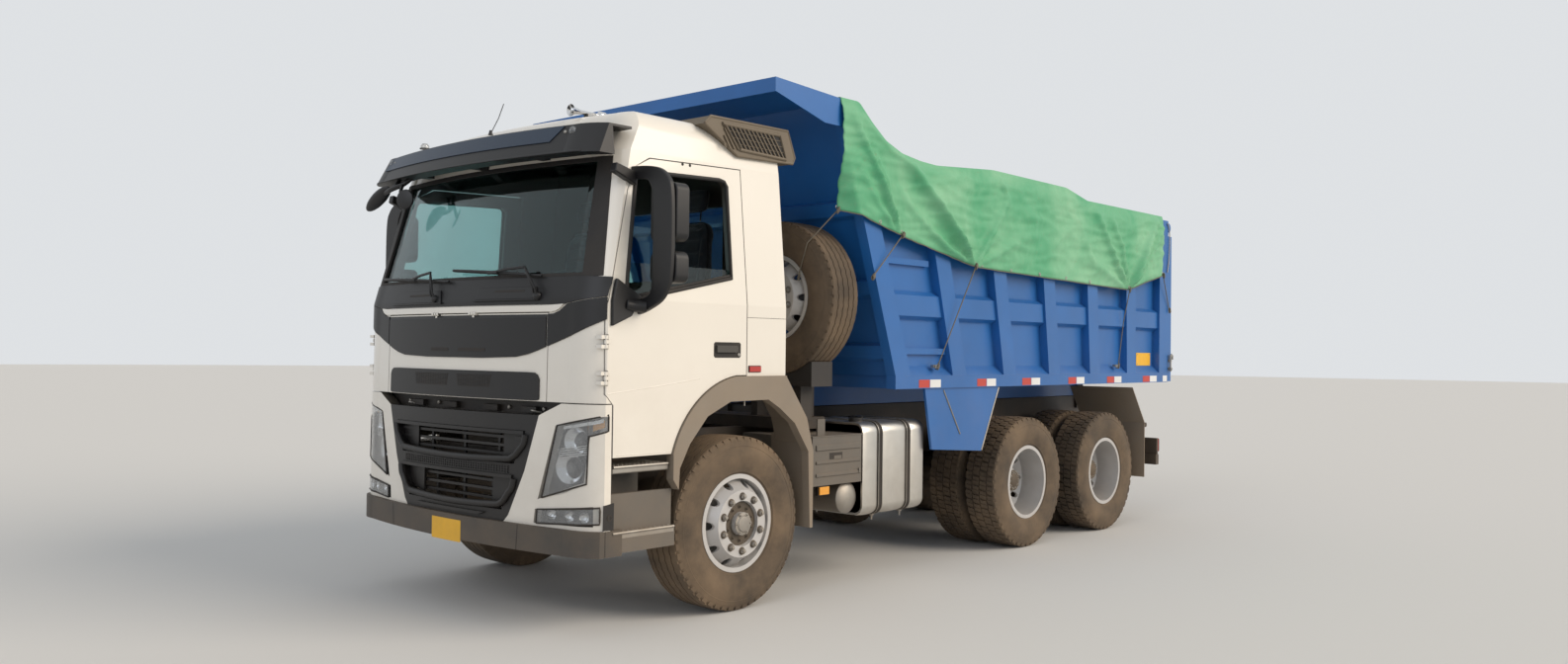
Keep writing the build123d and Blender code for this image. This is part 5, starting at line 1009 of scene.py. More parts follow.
# %% Grille
def lip(bm, half, top, low, drop=0.13):
    """The rounded lip of an opening: down each end, round the corner and along the bottom."""
    run = [(half, top), (half - 0.012, top - 0.05), (half - 0.04, top - drop * 0.62),
           (half - 0.10, low + 0.030), (half - 0.20, low + 0.012), (0.0, low)]
    run += [(-s, z) for s, z in run[-2::-1]]
    swept(bm, [cab_skin(p.x, p.y, 0.002) for p in curve([(s, z, 0) for s, z in run], 6)], 0.021, 10)


bm = bmesh.new()
for half, top, low in ((0.700, 1.108, 0.948), (0.610, 0.852, 0.680)):
    lip(bm, half, top, low)
    strip(bm, (0.015 - half, half - 0.015), (top, top + 0.020), (-0.02, 0.010))
    for way in (1, -1):
        panel(bm, [(way * (half - 0.235), low + 0.01), (way * (half - 0.04), low + 0.07)],
              [(way * (half - 0.235), top + 0.02), (way * half, top + 0.02)], (-0.055, -0.040), 2)
for i in range(4):
    z = 0.880 + i * 0.013
    strip(bm, (-0.56, 0.56), (z, z + 0.004), (-0.002, 0.003), step=0.1)
for i in range(46):
    s = -0.55 + i * 1.1 / 45
    strip(bm, (s - 0.002, s + 0.002), (0.878, 0.925), (-0.002, 0.0025))
panel(bm, both_ways([(0.30, 0.622)]), both_ways([(0.36, 0.640)]), (-0.004, 0.012))
piece("grille_lips", bm, [black_abs], "chassis", sharp=50)

# %% Gap above the grille
bm = bmesh.new()
prism(bm, [(3.42, 1.200), (3.50, 1.200), (3.50, 1.296), (3.42, 1.296)], -0.98, 0.98)
for y in (-0.60, -0.22, 0.22, 0.60):
    block(bm, (3.50, 3.53), (y - 0.07, y + 0.07), (1.225, 1.262))
for y in (-0.72, -0.38, 0.38, 0.72):
    turned(bm, [(0, 0), (0, 0.013), (0.014, 0.012), (0.016, 0)], at((3.50, y, 1.250), FORWARD), 12, index=1)
for y in (-0.66, 0.66):
    catch = [(3.505, y - 0.035, 1.230), (3.55, y, 1.242), (3.505, y + 0.035, 1.230)]
    swept(bm, curve(catch), 0.007, 8, index=1)
piece("catch_beam", bm, [chassis_enamel, zinc_steel], "chassis", bevel=0.002)

# %% [markdown]
# ## Headlamps
# Each headlamp is a black housing behind a clear lens. Inside are two pressed and chromed bowls, one over
# the other, with a bright strip across the top that wraps into the corner. A second, low lamp sits in the
# bumper line. The lens follows the nose, so it is laid on the same surface.

# %% Outlines and bowls of a headlamp
# The main lamp's lower and upper edge, the part that wraps into the corner, and the low lamp.
LAMP_EDGE = ((1.000, 0.797, 1.186), (1.060, 0.820, 1.199), (1.110, 0.838, 1.210), (1.165, 0.858, 1.222))
MAIN_LOW = [(0.838, 0.762)] + [(s, low) for s, low, _ in LAMP_EDGE]
MAIN_TOP = [(0.945, 1.170)] + [(s, top) for s, _, top in LAMP_EDGE]
WRAP_LOW, WRAP_TOP = [(1.168, 1.122), (1.285, 1.152)], [(1.168, 1.222), (1.285, 1.236)]
LOW_LAMP_LOW, LOW_LAMP_TOP = [(0.800, 0.617), (1.245, 0.640)], [(0.805, 0.694), (1.245, 0.731)]
MAIN_RIM = ((0.838, 0.762), (1.165, 0.858), (1.172, 1.118), (1.285, 1.150), (1.285, 1.238), (0.945, 1.172),
            (0.838, 0.762))
LOW_RIM = ((0.800, 0.617), (1.245, 0.640), (1.245, 0.731), (0.805, 0.694), (0.800, 0.617))
BOWL = ((-0.030, 0), (-0.028, 0.35), (-0.012, 0.75), (0.014, 1), (0.016, 1.04), (0.008, 1.04), (-0.020, 0.78),
        (-0.036, 0.36), (-0.038, 0))
BULB = ((-0.030, 0), (-0.028, 0.34), (0.002, 0.30), (0.012, 0.16), (0.014, 0))
LOW_BOWL = ((-0.006, 0), (-0.004, 0.016), (0.012, 0.030), (0.014, 0.031), (0.006, 0.031), (-0.010, 0.016),
            (-0.012, 0))

# %% Both headlamps
bm, lenses, rims = bmesh.new(), bmesh.new(), bmesh.new()
for way in (1, -1):
    swung = Matrix.Rotation(-math.pi / 2 + way * 0.30, 4, "Z")
    for low, top in ((MAIN_LOW, MAIN_TOP), (WRAP_LOW, WRAP_TOP)):
        panel(bm, on_side(way, low), on_side(way, top), (-0.085, -0.075), 3)
        panel(lenses, on_side(way, low), on_side(way, top), (-0.006, 0.001), 4)
    for z, s, size in ((1.085, 1.045, 0.075), (0.935, 1.000, 0.085)):
        place = at(cab_skin(way * s, z, -0.060), swung)
        turned(bm, [(h, size * share) for h, share in BOWL], place, 36, 1)
        turned(bm, [(h, size * share) for h, share in BULB], place, 28, 2)
    for k in range(5):
        z = 0.985 + k * 0.012
        edges = [on_side(way, [(0.925, z + tall), (1.14, z + 0.03 + tall)]) for tall in (0.0, 0.005)]
        panel(bm, *edges, (-0.060, -0.030), index=1)
    panel(bm, on_side(way, [(0.975, 1.150), (1.270, 1.196)]), on_side(way, [(0.975, 1.166), (1.270, 1.216)]),
          (-0.040, -0.024), index=1)
    panel(bm, on_side(way, [(1.180, 1.145), (1.265, 1.168)]), on_side(way, [(1.180, 1.195), (1.265, 1.205)]),
          (-0.050, -0.042), index=3)
    panel(bm, on_side(way, LOW_LAMP_LOW), on_side(way, LOW_LAMP_TOP), (-0.050, -0.042), 2)
    panel(lenses, on_side(way, LOW_LAMP_LOW), on_side(way, LOW_LAMP_TOP), (-0.006, 0.001), 2)
    for s in (0.90, 1.03, 1.15):
        turned(bm, LOW_BOWL, at(cab_skin(way * s, 0.672, -0.036), swung), 24, 1)
    for outline in (MAIN_RIM, LOW_RIM):
        run = []
        for (a, b), (c, d) in zip(outline, outline[1:]):
            run += [cab_skin(way * (a + (c - a) * t / 6), b + (d - b) * t / 6, 0.001) for t in range(6)]
        swept(rims, run + [run[0]], 0.005, 6)
piece("lamp_inside", bm, [black_abs, chrome, clear_lens, amber_lens], "chassis", sharp=50)
piece("lamp_seals", rims, [seal_rubber], "chassis", sharp=50)
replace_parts(piece("lamp_lenses", lenses, [clear_lens], "chassis"), "headlamps")

# %% [markdown]
# ## Bumper and steps
# The bumper is a grey moulding in three lengths, bolted to a steel bar behind. A black insert beside the
# low lamp hides the towing eye's cover. The number plate is pressed aluminium, left blank. Each step has a
# punched metal tread with a folded lip, which keeps boots from slipping.

# %% Bumper
SEAM = (-0.004, 0.0006)
bm = bmesh.new()
for way in (1, -1):
    low = on_side(way, [(0.662, 0.4555), (0.667, 0.4555)])
    panel(bm, low, on_side(way, [(0.672, 0.600), (0.677, 0.600)]), SEAM, 2, surface=bumper_skin)
    strip(bm, (way * 1.300, way * 1.305), (0.4555, 0.600), SEAM, 2, surface=bumper_skin)
    panel(bm, on_side(way, [(1.262, 0.604), (1.335, 0.604)]), on_side(way, [(1.262, 0.742), (1.335, 0.752)]),
          (-0.004, 0.004), 2, index=1)
    turned(bm, [(0, 0), (0, 0.017), (0.003, 0.017), (0.003, 0.012), (0.0005, 0.011), (0.0005, 0)],
           at(cab_skin(way * 1.305, 0.672, 0.003), Matrix.Rotation(0 if way > 0 else math.pi, 4, "Z")), 24)
piece("bumper_seams", bm, [seal_rubber, black_abs], "chassis")
bm = bmesh.new()
strip(bm, (-0.155, 0.155), (0.440, 0.570), (-0.001, 0.0012), 2, surface=bumper_skin)
piece("number_plate", bm, [yellow_plate], "chassis", bevel=0.001)

# %% Steps
# Of each tread: its top, its inner and outer edge, its front and back.
TREADS = ((0.948, 1.010, 1.217, 3.408, 3.000), (0.585, 1.110, 1.2335, 3.418, 2.962))
PUNCHED = ((0, 0), (0, 0.0085), (0.003, 0.006), (0.003, 0.0035), (0.0005, 0.003), (0.0005, 0))
bm = bmesh.new()
for way in (1, -1):
    for top, inner, outer, front, back in TREADS:
        block(bm, (back, front), (way * inner, way * outer), (top - 0.002, top + 0.004))
        swept(bm, [(x, way * outer, top - 0.004) for x in (back, front)], 0.009, 8)
        block(bm, (back, front), (way * (outer - 0.006), way * outer), (top - 0.034, top))
        for i in range(13):
            for k in range(3):
                x = back + 0.025 + i * (front - back - 0.05) / 12
                turned(bm, PUNCHED, at((x, way * (outer - 0.022 - 0.036 * k), top + 0.003), UPWARD), 8)
piece("step_treads", bm, [zinc_steel], "chassis", sharp=30)

# %% [markdown]
# ## Doors
# The door is two pressed steel skins folded together at the edge. A black rubber channel carries the
# window, a shallow crease stiffens the skin, and the handle lies in a moulded cup. A red marker lamp and a
# joint line sit on the panel behind the door.

# %% Outlines on a door
WAIST = 1.880


def side_y(z):
    """Half the cab's width at a height: upright below the window, leaning in above it."""
    return CAB_HALF - 0.080 * max(0.0, z - WAIST) / 0.860


WINDOW = ((3.345, 1.868), (3.330, 2.000), (3.233, 2.580), (3.218, 2.604), (3.195, 2.618), (2.560, 2.640),
          (2.520, 2.632), (2.500, 2.605), (2.500, 2.040))
SILL_LINE = (WINDOW[0], WINDOW[-1])
CUP = ((2.645, 1.556), (2.655, 1.566), (2.655, 1.640), (2.645, 1.650), (2.435, 1.650), (2.425, 1.640),
       (2.425, 1.566), (2.435, 1.556))
GRIP = ((2.640, 1.588), (2.640, 1.630), (2.470, 1.630), (2.462, 1.622), (2.462, 1.596), (2.470, 1.588))
CREASES = (((3.466, 1.353), (3.05, 1.397), (2.765, 1.433)), ((3.40, 1.012), (2.99, 1.012)))
CREASE_Y = 1.2325

# %% Both doors
# The handle's grip takes the grey that is darkened as painted shade.
DOOR_TRIM, SIDE_LAMP = (seal_rubber, grey_pp_painted_shade, zinc_steel), (seal_rubber, red_lens, zinc_steel)
for way, name in SIDES:
    bm = bmesh.new()
    swept(bm, [(x, way * (side_y(z) + 0.001), z) for x, z in WINDOW + WINDOW[:1]], 0.013, 8)
    swept(bm, [(x, way * (side_y(z) - 0.008), z + 0.016) for x, z in SILL_LINE], 0.010, 8)
    prism(bm, CUP, way * 1.234, way * 1.2375)
    prism(bm, GRIP, way * 1.237, way * 1.252, index=1)
    lock = wheel_place(2.445, way * 1.237, 1.575)
    turned(bm, [(0, 0), (0, 0.011), (0.006, 0.010), (0.006, 0)], lock, 16, 2)
    piece(f"door_trim_{name}", bm, DOOR_TRIM, f"door_{name}", bevel=0.0015)
    bm = bmesh.new()
    for line in CREASES:
        swept(bm, [(x, way * CREASE_Y, z) for x, z in line], 0.0042, 8)
    piece(f"door_crease_{name}", bm, [cab_enamel], f"door_{name}", sharp=60)
    bm = bmesh.new()
    for x, y, z, index in (((2.245, 2.355), (1.234, 1.239), (1.466, 1.508), 0),
                           ((2.250, 2.350), (1.238, 1.246), (1.470, 1.504), 1),
                           ((CAB_BACK, 2.366), (1.2345, 1.2353), (1.8035, 1.8065), 0)):
        block(bm, x, [way * edge for edge in y], z, index)
    for x in (2.80, 2.86):
        place = wheel_place(x, way * side_y(2.70), 2.700)
        turned(bm, [(0, 0), (0, 0.010), (0.002, 0.009), (0.002, 0)], place, 12)
    for z in (1.30, 1.72, 2.34):
        hinge = [way * (side_y(z) - depth) for depth in (0.020, 0.012)]
        block(bm, (2.366, 2.3735), hinge, (z - 0.04, z + 0.04), 2)
    piece(f"cab_side_lamp_{name}", bm, SIDE_LAMP, "chassis", bevel=0.002)

# %% [markdown]
# ## Mirrors
# On each door a thick moulded bow carries two housings, with a tall flat glass over a smaller one. The bow
# springs from a foot in the window's front corner and comes back to the top of the pillar. The glass is
# silvered on its back and faces rearward.


# %% Outlines of a mirror
def rounded(y0, y1, z0, z1, radius, steps=5):
    """A rectangle with round corners, as an outline."""
    left, right, low, high = y0 + radius, y1 - radius, z0 + radius, z1 - radius
    outline = []
    for k, (y, z) in enumerate(((right, high), (left, high), (left, low), (right, low))):
        turns = [math.pi / 2 * (k + i / steps) for i in range(steps + 1)]
        outline += [(y + radius * math.cos(t), z + radius * math.sin(t)) for t in turns]
    return outline


def plate(bm, way, outline, start, end, index=0):
    """An outline of (y, z) points on the side that way names, filled between two x."""
    prism(bm, [(way * y, z) for y, z in outline], start, end, "YZ", index)


BOW = ((1.160, 2.640), (1.300, 2.630), (1.400, 2.608), (1.465, 2.560), (1.500, 2.480), (1.508, 2.250),
       (1.500, 2.020), (1.465, 1.920), (1.390, 1.852), (1.225, 1.797), (1.225, 1.868), (1.310, 1.900),
       (1.345, 1.960), (1.352, 2.250), (1.345, 2.460), (1.325, 2.520), (1.290, 2.552), (1.160, 2.575))
FOOT = ((3.425, 1.995), (3.455, 1.870), (3.455, 1.726), (3.315, 1.785), (3.245, 1.898))
HEAD = ((3.255, 2.528), (3.255, 2.602), (3.405, 2.642), (3.415, 2.590))

# %% Both mirrors
for way, name in SIDES:
    bm = bmesh.new()
    smooth = curve([(y, z, 0) for y, z in BOW + BOW[:1]], 4)[:-1]
    plate(bm, way, [(p.x, p.y) for p in smooth], 3.228, 3.262)
    for low, high in ((1.970, 2.148), (2.202, 2.528)):
        plate(bm, way, rounded(1.293, 1.512, low, high, 0.045), 3.128, 3.226)
    for z in (2.070, 2.400):
        block(bm, (3.200, 3.250), (way * 1.34, way * 1.39), (z - 0.02, z + 0.02))
    prism(bm, FOOT, way * 1.230, way * 1.257)
    prism(bm, HEAD, way * 1.160, way * 1.213)
    swept(bm, [(3.246, way * 1.30, 1.838), (3.30, way * 1.255, 1.842), (3.36, way * 1.242, 1.850)], 0.034, 12)
    shell = piece(f"mirror_shell_{name}", bm, [black_abs], f"door_{name}", bevel=0.011)
    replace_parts(shell, f"mirror_{name}")
    bm = bmesh.new()
    for low, high in ((1.980, 2.138), (2.212, 2.518)):
        plate(bm, way, rounded(1.303, 1.502, low, high, 0.036), 3.1245, 3.129)
    piece(f"mirror_glass_{name}", bm, [mirror_silver], f"door_{name}")

# %% [markdown]
# ## Air intake, horn and roof lamps
# The engine breathes through a box on the roof's left rear corner, above the road's dust. Slanted slats and
# three level bars keep leaves and rain out. An air horn, two marker lamps and a whip aerial stand on the
# roof.

# %% Air intake
LOUVRE = ((2.538, 2.990), (2.020, 2.990), (1.959, 2.841), (2.382, 2.850))
INTAKE_EDGE = ((2.682, 2.973), (2.636, 3.022), (1.936, 3.029), (1.866, 2.863), (1.884, 2.824), (2.398, 2.810))
# A slat leans forward by SLAT_LEAN over its height; the last ones are cut off at the louvre's front end.
SLAT_FOOT, SLAT_HEIGHT, SLAT_LEAN, SLAT_WIDTH, LAST_X = 2.846, 0.140, 0.115, 0.010, 2.530
bm = bmesh.new()
prism(bm, LOUVRE, 1.164, 1.1665, index=1)
swept(bm, [(x, 1.166, z) for x, z in LOUVRE + LOUVRE[:2]], 0.012, 8)
swept(bm, [(x, 1.160, z) for x, z in INTAKE_EDGE + INTAKE_EDGE[:2]], 0.010, 8)
for i in range(15):
    low = max(1.975 + i * 0.038, 1.976)
    share = (LAST_X - low) / SLAT_LEAN
    tip = (low + SLAT_LEAN, low + SLAT_LEAN + SLAT_WIDTH) if share >= 1 else (LAST_X - 0.008, LAST_X)
    top = SLAT_FOOT + SLAT_HEIGHT * min(1.0, share)
    slat = [(low, SLAT_FOOT), (low + SLAT_WIDTH, SLAT_FOOT), (tip[1], top), (tip[0], top)]
    prism(bm, slat, 1.166, 1.175)
for z in (2.882, 2.918, 2.954):
    share = (z - 2.841) / 0.149
    block(bm, (1.965 + 0.061 * share, 2.395 + 0.140 * share), (1.166, 1.1695), (z - 0.002, z + 0.002))
piece("intake_louvre", bm, [intake_pp, seal_rubber], "chassis", bevel=0.0015)

# %% Horn, roof lamps and aerial
HORN = ((-0.060, 0), (-0.060, 0.026), (-0.020, 0.026), (-0.018, 0.010), (0.120, 0.013), (0.170, 0.022),
        (0.195, 0.036), (0.199, 0.037), (0.190, 0.030), (0.165, 0.016), (0.120, 0.009), (0.118, 0))
MARKER = ((0, 0), (0, 0.030), (0.020, 0.028), (0.034, 0.018), (0.036, 0))
AERIAL_FOOT = ((0, 0), (0, 0.016), (0.012, 0.012), (0.030, 0.007), (0.032, 0))
AERIAL = ((3.410, 0.0, 2.930), (3.400, 0.0, 2.955), (3.355, 0.0, 3.040), (3.319, 0.0, 3.135))
bm = bmesh.new()
for x, y in ((3.229, -1.060), (3.168, 0.700)):
    turned(bm, MARKER, at((x, y, 2.975), UPWARD), 20, 2)
    turned(bm, [(0, 0), (0, 0.036), (0.006, 0.036), (0.006, 0)], at((x, y, 2.972), UPWARD), 20)
turned(bm, HORN, at((3.060, 0.600, 3.030), FORWARD), 24, 1)
for x in (3.02, 3.14):
    block(bm, (x - 0.006, x + 0.006), (0.585, 0.615), (2.980, 3.025))
swept(bm, AERIAL, 0.0028, 8)
turned(bm, AERIAL_FOOT, at((3.412, 0.0, 2.925), UPWARD), 20)
piece("roof_fittings", bm, [black_abs, chrome, clear_lens], "chassis", sharp=45)

# %% [markdown]
# ## Seats
# Each seat has a moulded plinth with a rubber bellows over its spring, and three pads of cut foam in sewn
# covers. The foam is larger than its cover, so the cloth stands in rolls between the seams and the sides
# pull in between the corners. Air pressure on a sheet that is held along its seams gives the same form, so
# each pad is blown up from a smaller, evenly divided shell, and no point may move more than 26 mm. Both
# seats use the same three pads.


# %% The form of a pad
def pad_form(half, pull, crown, wing, taper, power=4.5):
    """A rounded block: sides pulled in, face crowned, edges raised like wings, far end narrower."""
    bm = bmesh.new()
    bmesh.ops.create_cube(bm, size=2.0)
    bmesh.ops.subdivide_edges(bm, edges=bm.edges[:], cuts=15, use_grid_fill=True)
    for vertex in bm.verts:
        reach = sum(abs(c) ** power for c in vertex.co) ** (1 / power)
        a, b, c = vertex.co / reach
        crowned = crown * (1 - a * a) * (1 - b * b)
        winged = wing * max(0.0, abs(a) - 0.62) * (1 - b * b)
        face = crowned + winged if c > 0 else 0.0
        wide = a * (1 - pull * (1 - b * b)) * (1 - taper * max(0.0, b))
        vertex.co = (half[0] * wide, half[1] * b * (1 - pull * (1 - a * a)), half[2] * (c + face))
    return bm


def baked(thing):
    """Turn what a piece's modifiers show into its mesh."""
    mesh = bpy.data.meshes.new_from_object(thing.evaluated_get(bpy.context.evaluated_depsgraph_get()))
    thing.modifiers.clear()
    thing.data = mesh


def seam_distance(point, seams):
    """How far a point of the face is from the nearest seam, given as ((x0, y0), (x1, y1)) lines."""
    near = 1.0
    for start, end in seams:
        start, end = Vector(start), Vector(end)
        along = end - start
        t = min(1.0, max(0.0, (point.xy - start).dot(along) / along.length_squared))
        near = min(near, (point.xy - start - along * t).length)
    return near


# %% A pad, blown up
def swollen_pad(name, half, seams, pull=0.045, crown=0.12, wing=0.9, taper=0.0, cell=0.016, cap=0.026):
    """The mesh of one pad, swollen between its seams."""
    bm = pad_form(half, pull, crown, wing, taper)
    mesh = bpy.data.meshes.new(name)
    bm.to_mesh(mesh)
    bm.free()
    thing = bpy.data.objects.new(name, mesh)
    bpy.context.scene.collection.objects.link(thing)
    even = thing.modifiers.new("even", "REMESH")
    even.mode, even.voxel_size = "VOXEL", cell
    baked(thing)
    held = thing.vertex_groups.new(name="held")
    held.add([v.index for v in thing.data.vertices
              if v.co.z > 0.2 * half[2] and seam_distance(v.co, seams) < 0.6 * cell], 1.0, "REPLACE")
    rest = [v.co.copy() for v in thing.data.vertices]
    cloth = thing.modifiers.new("swell", "CLOTH")
    cloth.settings.use_pressure = True
    cloth.settings.uniform_pressure_force = 4
    cloth.settings.effector_weights.gravity = 0
    cloth.settings.vertex_group_mass = "held"
    for frame_number in range(1, 21):
        bpy.context.scene.frame_set(frame_number)
    baked(thing)
    for vertex, start in zip(thing.data.vertices, rest):
        move = vertex.co - start
        vertex.co = start + move * min(1.0, cap / max(move.length, 1e-6))
    bpy.context.scene.frame_set(1)
    finer = thing.modifiers.new("finer", "SUBSURF")
    finer.levels = finer.render_levels = 1
    baked(thing)
    for vertex in thing.data.vertices:
        if vertex.co.z > 0:
            vertex.co.z -= 0.006 * math.exp(-(seam_distance(vertex.co, seams) / 0.010) ** 2)
    mesh = thing.data
    bpy.data.objects.remove(thing)
    spans = [max(v.co[k] for v in mesh.vertices) - min(v.co[k] for v in mesh.vertices) for k in range(3)]
    print(name, "points:", len(mesh.vertices), "size in mm:", [round(1000 * span) for span in spans])
    return mesh


# %% A welt round a pad
def welted(bm, mesh, level, radius=0.0045):
    """A piped cord round a pad, laid on its widest line at a height."""
    run = []
    line = [v.co for v in mesh.vertices if abs(v.co.z - level) < 0.014]
    for k in range(72):
        way = Vector((math.cos(math.pi * k / 36), math.sin(math.pi * k / 36), 0))
        near = [co for co in line if co.xy.normalized().dot(way.xy) > 0.995]
        run.append(max(near, key=way.dot).copy())
        run[-1].z = level
    soft = [(run[k - 1] + run[k] + run[(k + 1) % 72]) / 3 for k in range(72)]
    swept(bm, soft + soft[:2], radius, 6)


# %% The three pads
ACROSS = [((-0.150, y), (0.150, y)) for y in (-0.150, -0.075, 0.0, 0.075, 0.150)]
ALONG = [((x, -0.24), (x, 0.22)) for x in (-0.155, 0.155)]
CUSHION = swollen_pad("cushion", (0.228, 0.246, 0.062), ACROSS + ALONG)
BACK_ROLLS = [((-0.135, y), (0.135, y)) for y in (-0.20, -0.11, -0.02, 0.07, 0.16)]
BACK_EDGES = [((s * 0.150, -0.30), (s * 0.135, 0.20)) for s in (-1, 1)]
BACK = swollen_pad("back", (0.218, 0.318, 0.044), BACK_ROLLS + BACK_EDGES, wing=1.1, taper=0.16)
HEADREST = swollen_pad("headrest", (0.116, 0.078, 0.036), [((-0.10, 0.03), (0.10, 0.03))], wing=0.0,
                       cap=0.012)

# %% Seats
LEAN = math.radians(9.9)
SINE, COSINE = math.sin(LEAN), math.cos(LEAN)
UPRIGHT = Matrix(((0, -SINE, COSINE), (1, 0, 0), (0, COSINE, SINE))).to_4x4()
# Of each pad: its turn, its place as (x, z), how full it is packed, and the level of its welt.
PADS = (("cushion", CUSHION, Matrix.Rotation(math.pi / 2, 4, "Z"), (2.502, 1.757), 0.7, 0.020),
        ("back", BACK, UPRIGHT, (2.243, 2.165), 0.7, 0.012),
        ("headrest", HEADREST, UPRIGHT, (2.178, 2.594), 0.8, 0.0))
SEAT_Y = 0.560
BELLOWS = ((2.300, -0.155), (2.710, -0.155), (2.710, 0.155), (2.300, 0.155))
seat_parts = []
for way, side_name in SIDES:
    y = way * SEAT_Y
    for label, shape, turn, (x, z), fill, level in PADS:
        place = at((x, y, z), turn)
        bm = bmesh.new()
        bm.from_mesh(shape)
        pad = piece(f"seat_{label}_{side_name}", bm, [seat_cloth], "chassis", sharp=180,
                    place=place)
        seat_parts.append(pad)
        bm = bmesh.new()
        welted(bm, shape, level)
        piece(f"seat_{label}_welt_{side_name}", bm, [seal_rubber], "chassis", sharp=60,
              place=place)
    bm = bmesh.new()
    for low, high, grow in ((1.441, 1.470, 0.0), (1.648, 1.676, -0.010)):
        block(bm, (2.290 - grow, 2.720 + grow), (y - 0.165 - grow, y + 0.165 + grow), (low, high))
    pleats = [(1.470 + k * 0.0148, 0.012 if k % 2 else 0.040) for k in range(13)]
    skinned(bm, [[bm.verts.new((x + math.copysign(inset, 2.5 - x), y + out - math.copysign(inset, out), z))
                  for x, out in BELLOWS] for z, inset in pleats], 1)
    for shift in (-0.06, 0.06):
        swept(bm, [(2.190, y + shift, 2.455), (2.181, y + shift, 2.540)], 0.006, 10, index=2)
    lever = [(2.50, y + 0.262, 1.70), (2.62, y + 0.266, 1.705), (2.70, y + 0.264, 1.73)]
    swept(bm, curve(lever, 3), 0.007, 8)
    seat_parts.append(piece(f"seat_base_{side_name}", bm, [black_abs, seal_rubber, chrome], "chassis",
                            bevel=0.003))
for part in seat_parts:
    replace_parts(part, "seats")

# %% [markdown]
# ## Instrument panel
# The panel is moulded in one piece and grained so that it doesn't mirror in the screen. A hooded block of
# round gauges stands behind the steering wheel, with air vents beside it, and the gear lever rises from the
# floor in the middle.

# %% Instrument panel
HOOD = ((3.190, 1.905), (3.182, 1.985), (3.205, 2.006), (3.330, 1.972), (3.350, 1.940), (3.240, 1.905))
DIAL = ((0, 0), (0, 0.044), (0.004, 0.047), (0.006, 0.044), (0.003, 0.040), (0.003, 0))
LEVER_Y = -0.02
bm = bmesh.new()
prism(bm, HOOD, 0.330, 0.790)
for y in (0.440, 0.560, 0.680):
    turned(bm, DIAL, at((3.187, y, 1.948), Matrix.Rotation(math.pi / 2, 4, "Z")), 28, 1)
for y in (-0.820, -0.100, 0.180, 0.930):
    plate(bm, 1, rounded(y - 0.070, y + 0.070, 1.800, 1.850, 0.012), 3.158, 3.172, 1)
    for z in (1.813, 1.825, 1.837):
        block(bm, (3.152, 3.160), (y - 0.062, y + 0.062), (z - 0.002, z + 0.002))
swept(bm, curve([(3.100, LEVER_Y, 1.62), (3.060, LEVER_Y, 1.80), (3.030, LEVER_Y, 1.93)], 4), 0.011, 10)
turned(bm, [(0, 0), (0.004, 0.024), (0.030, 0.030), (0.055, 0.022), (0.062, 0)],
       at((3.030, LEVER_Y, 1.925), UPWARD), 20)
piece("instrument_panel", bm, [black_abs, seal_rubber], "chassis", bevel=0.004)

# %% [markdown]
# ## Cover
# One sheet of coated cloth, about 4 by 5 metres, is thrown over the canopy's rear edge and the body, and
# tied down along both sides. Its hem is turned over a rope and welded. Each tie pulls a fan of folds out of
# the skirt: a narrow ridge starts at the eyelet and widens as it runs up. The front corner is pulled
# inward, towards the spare wheel, so the cloth ahead of the body turns away. The folds are drawn one by
# one, where they hang in the picture, with smaller creases from noise. The inner face stays outside the
# body's side.

# %% Lines of the cover and its folds
# Lines of (x, z), with x counted from the front axle.
COVER_TOP = ((-0.862, 3.3060), (-1.062, 3.3075), (-1.210, 3.190), (-1.370, 3.085), (-1.560, 3.020),
             (-1.800, 2.992), (-2.000, 2.985), (-2.770, 3.045), (-3.940, 3.035), (-4.320, 2.960),
             (-5.835, 2.960))
COVER_HEM = ((-0.890, 2.560), (-1.063, 2.532), (-1.504, 2.430), (-2.433, 2.262), (-3.700, 2.232),
             (-5.025, 2.205), (-5.800, 2.378))
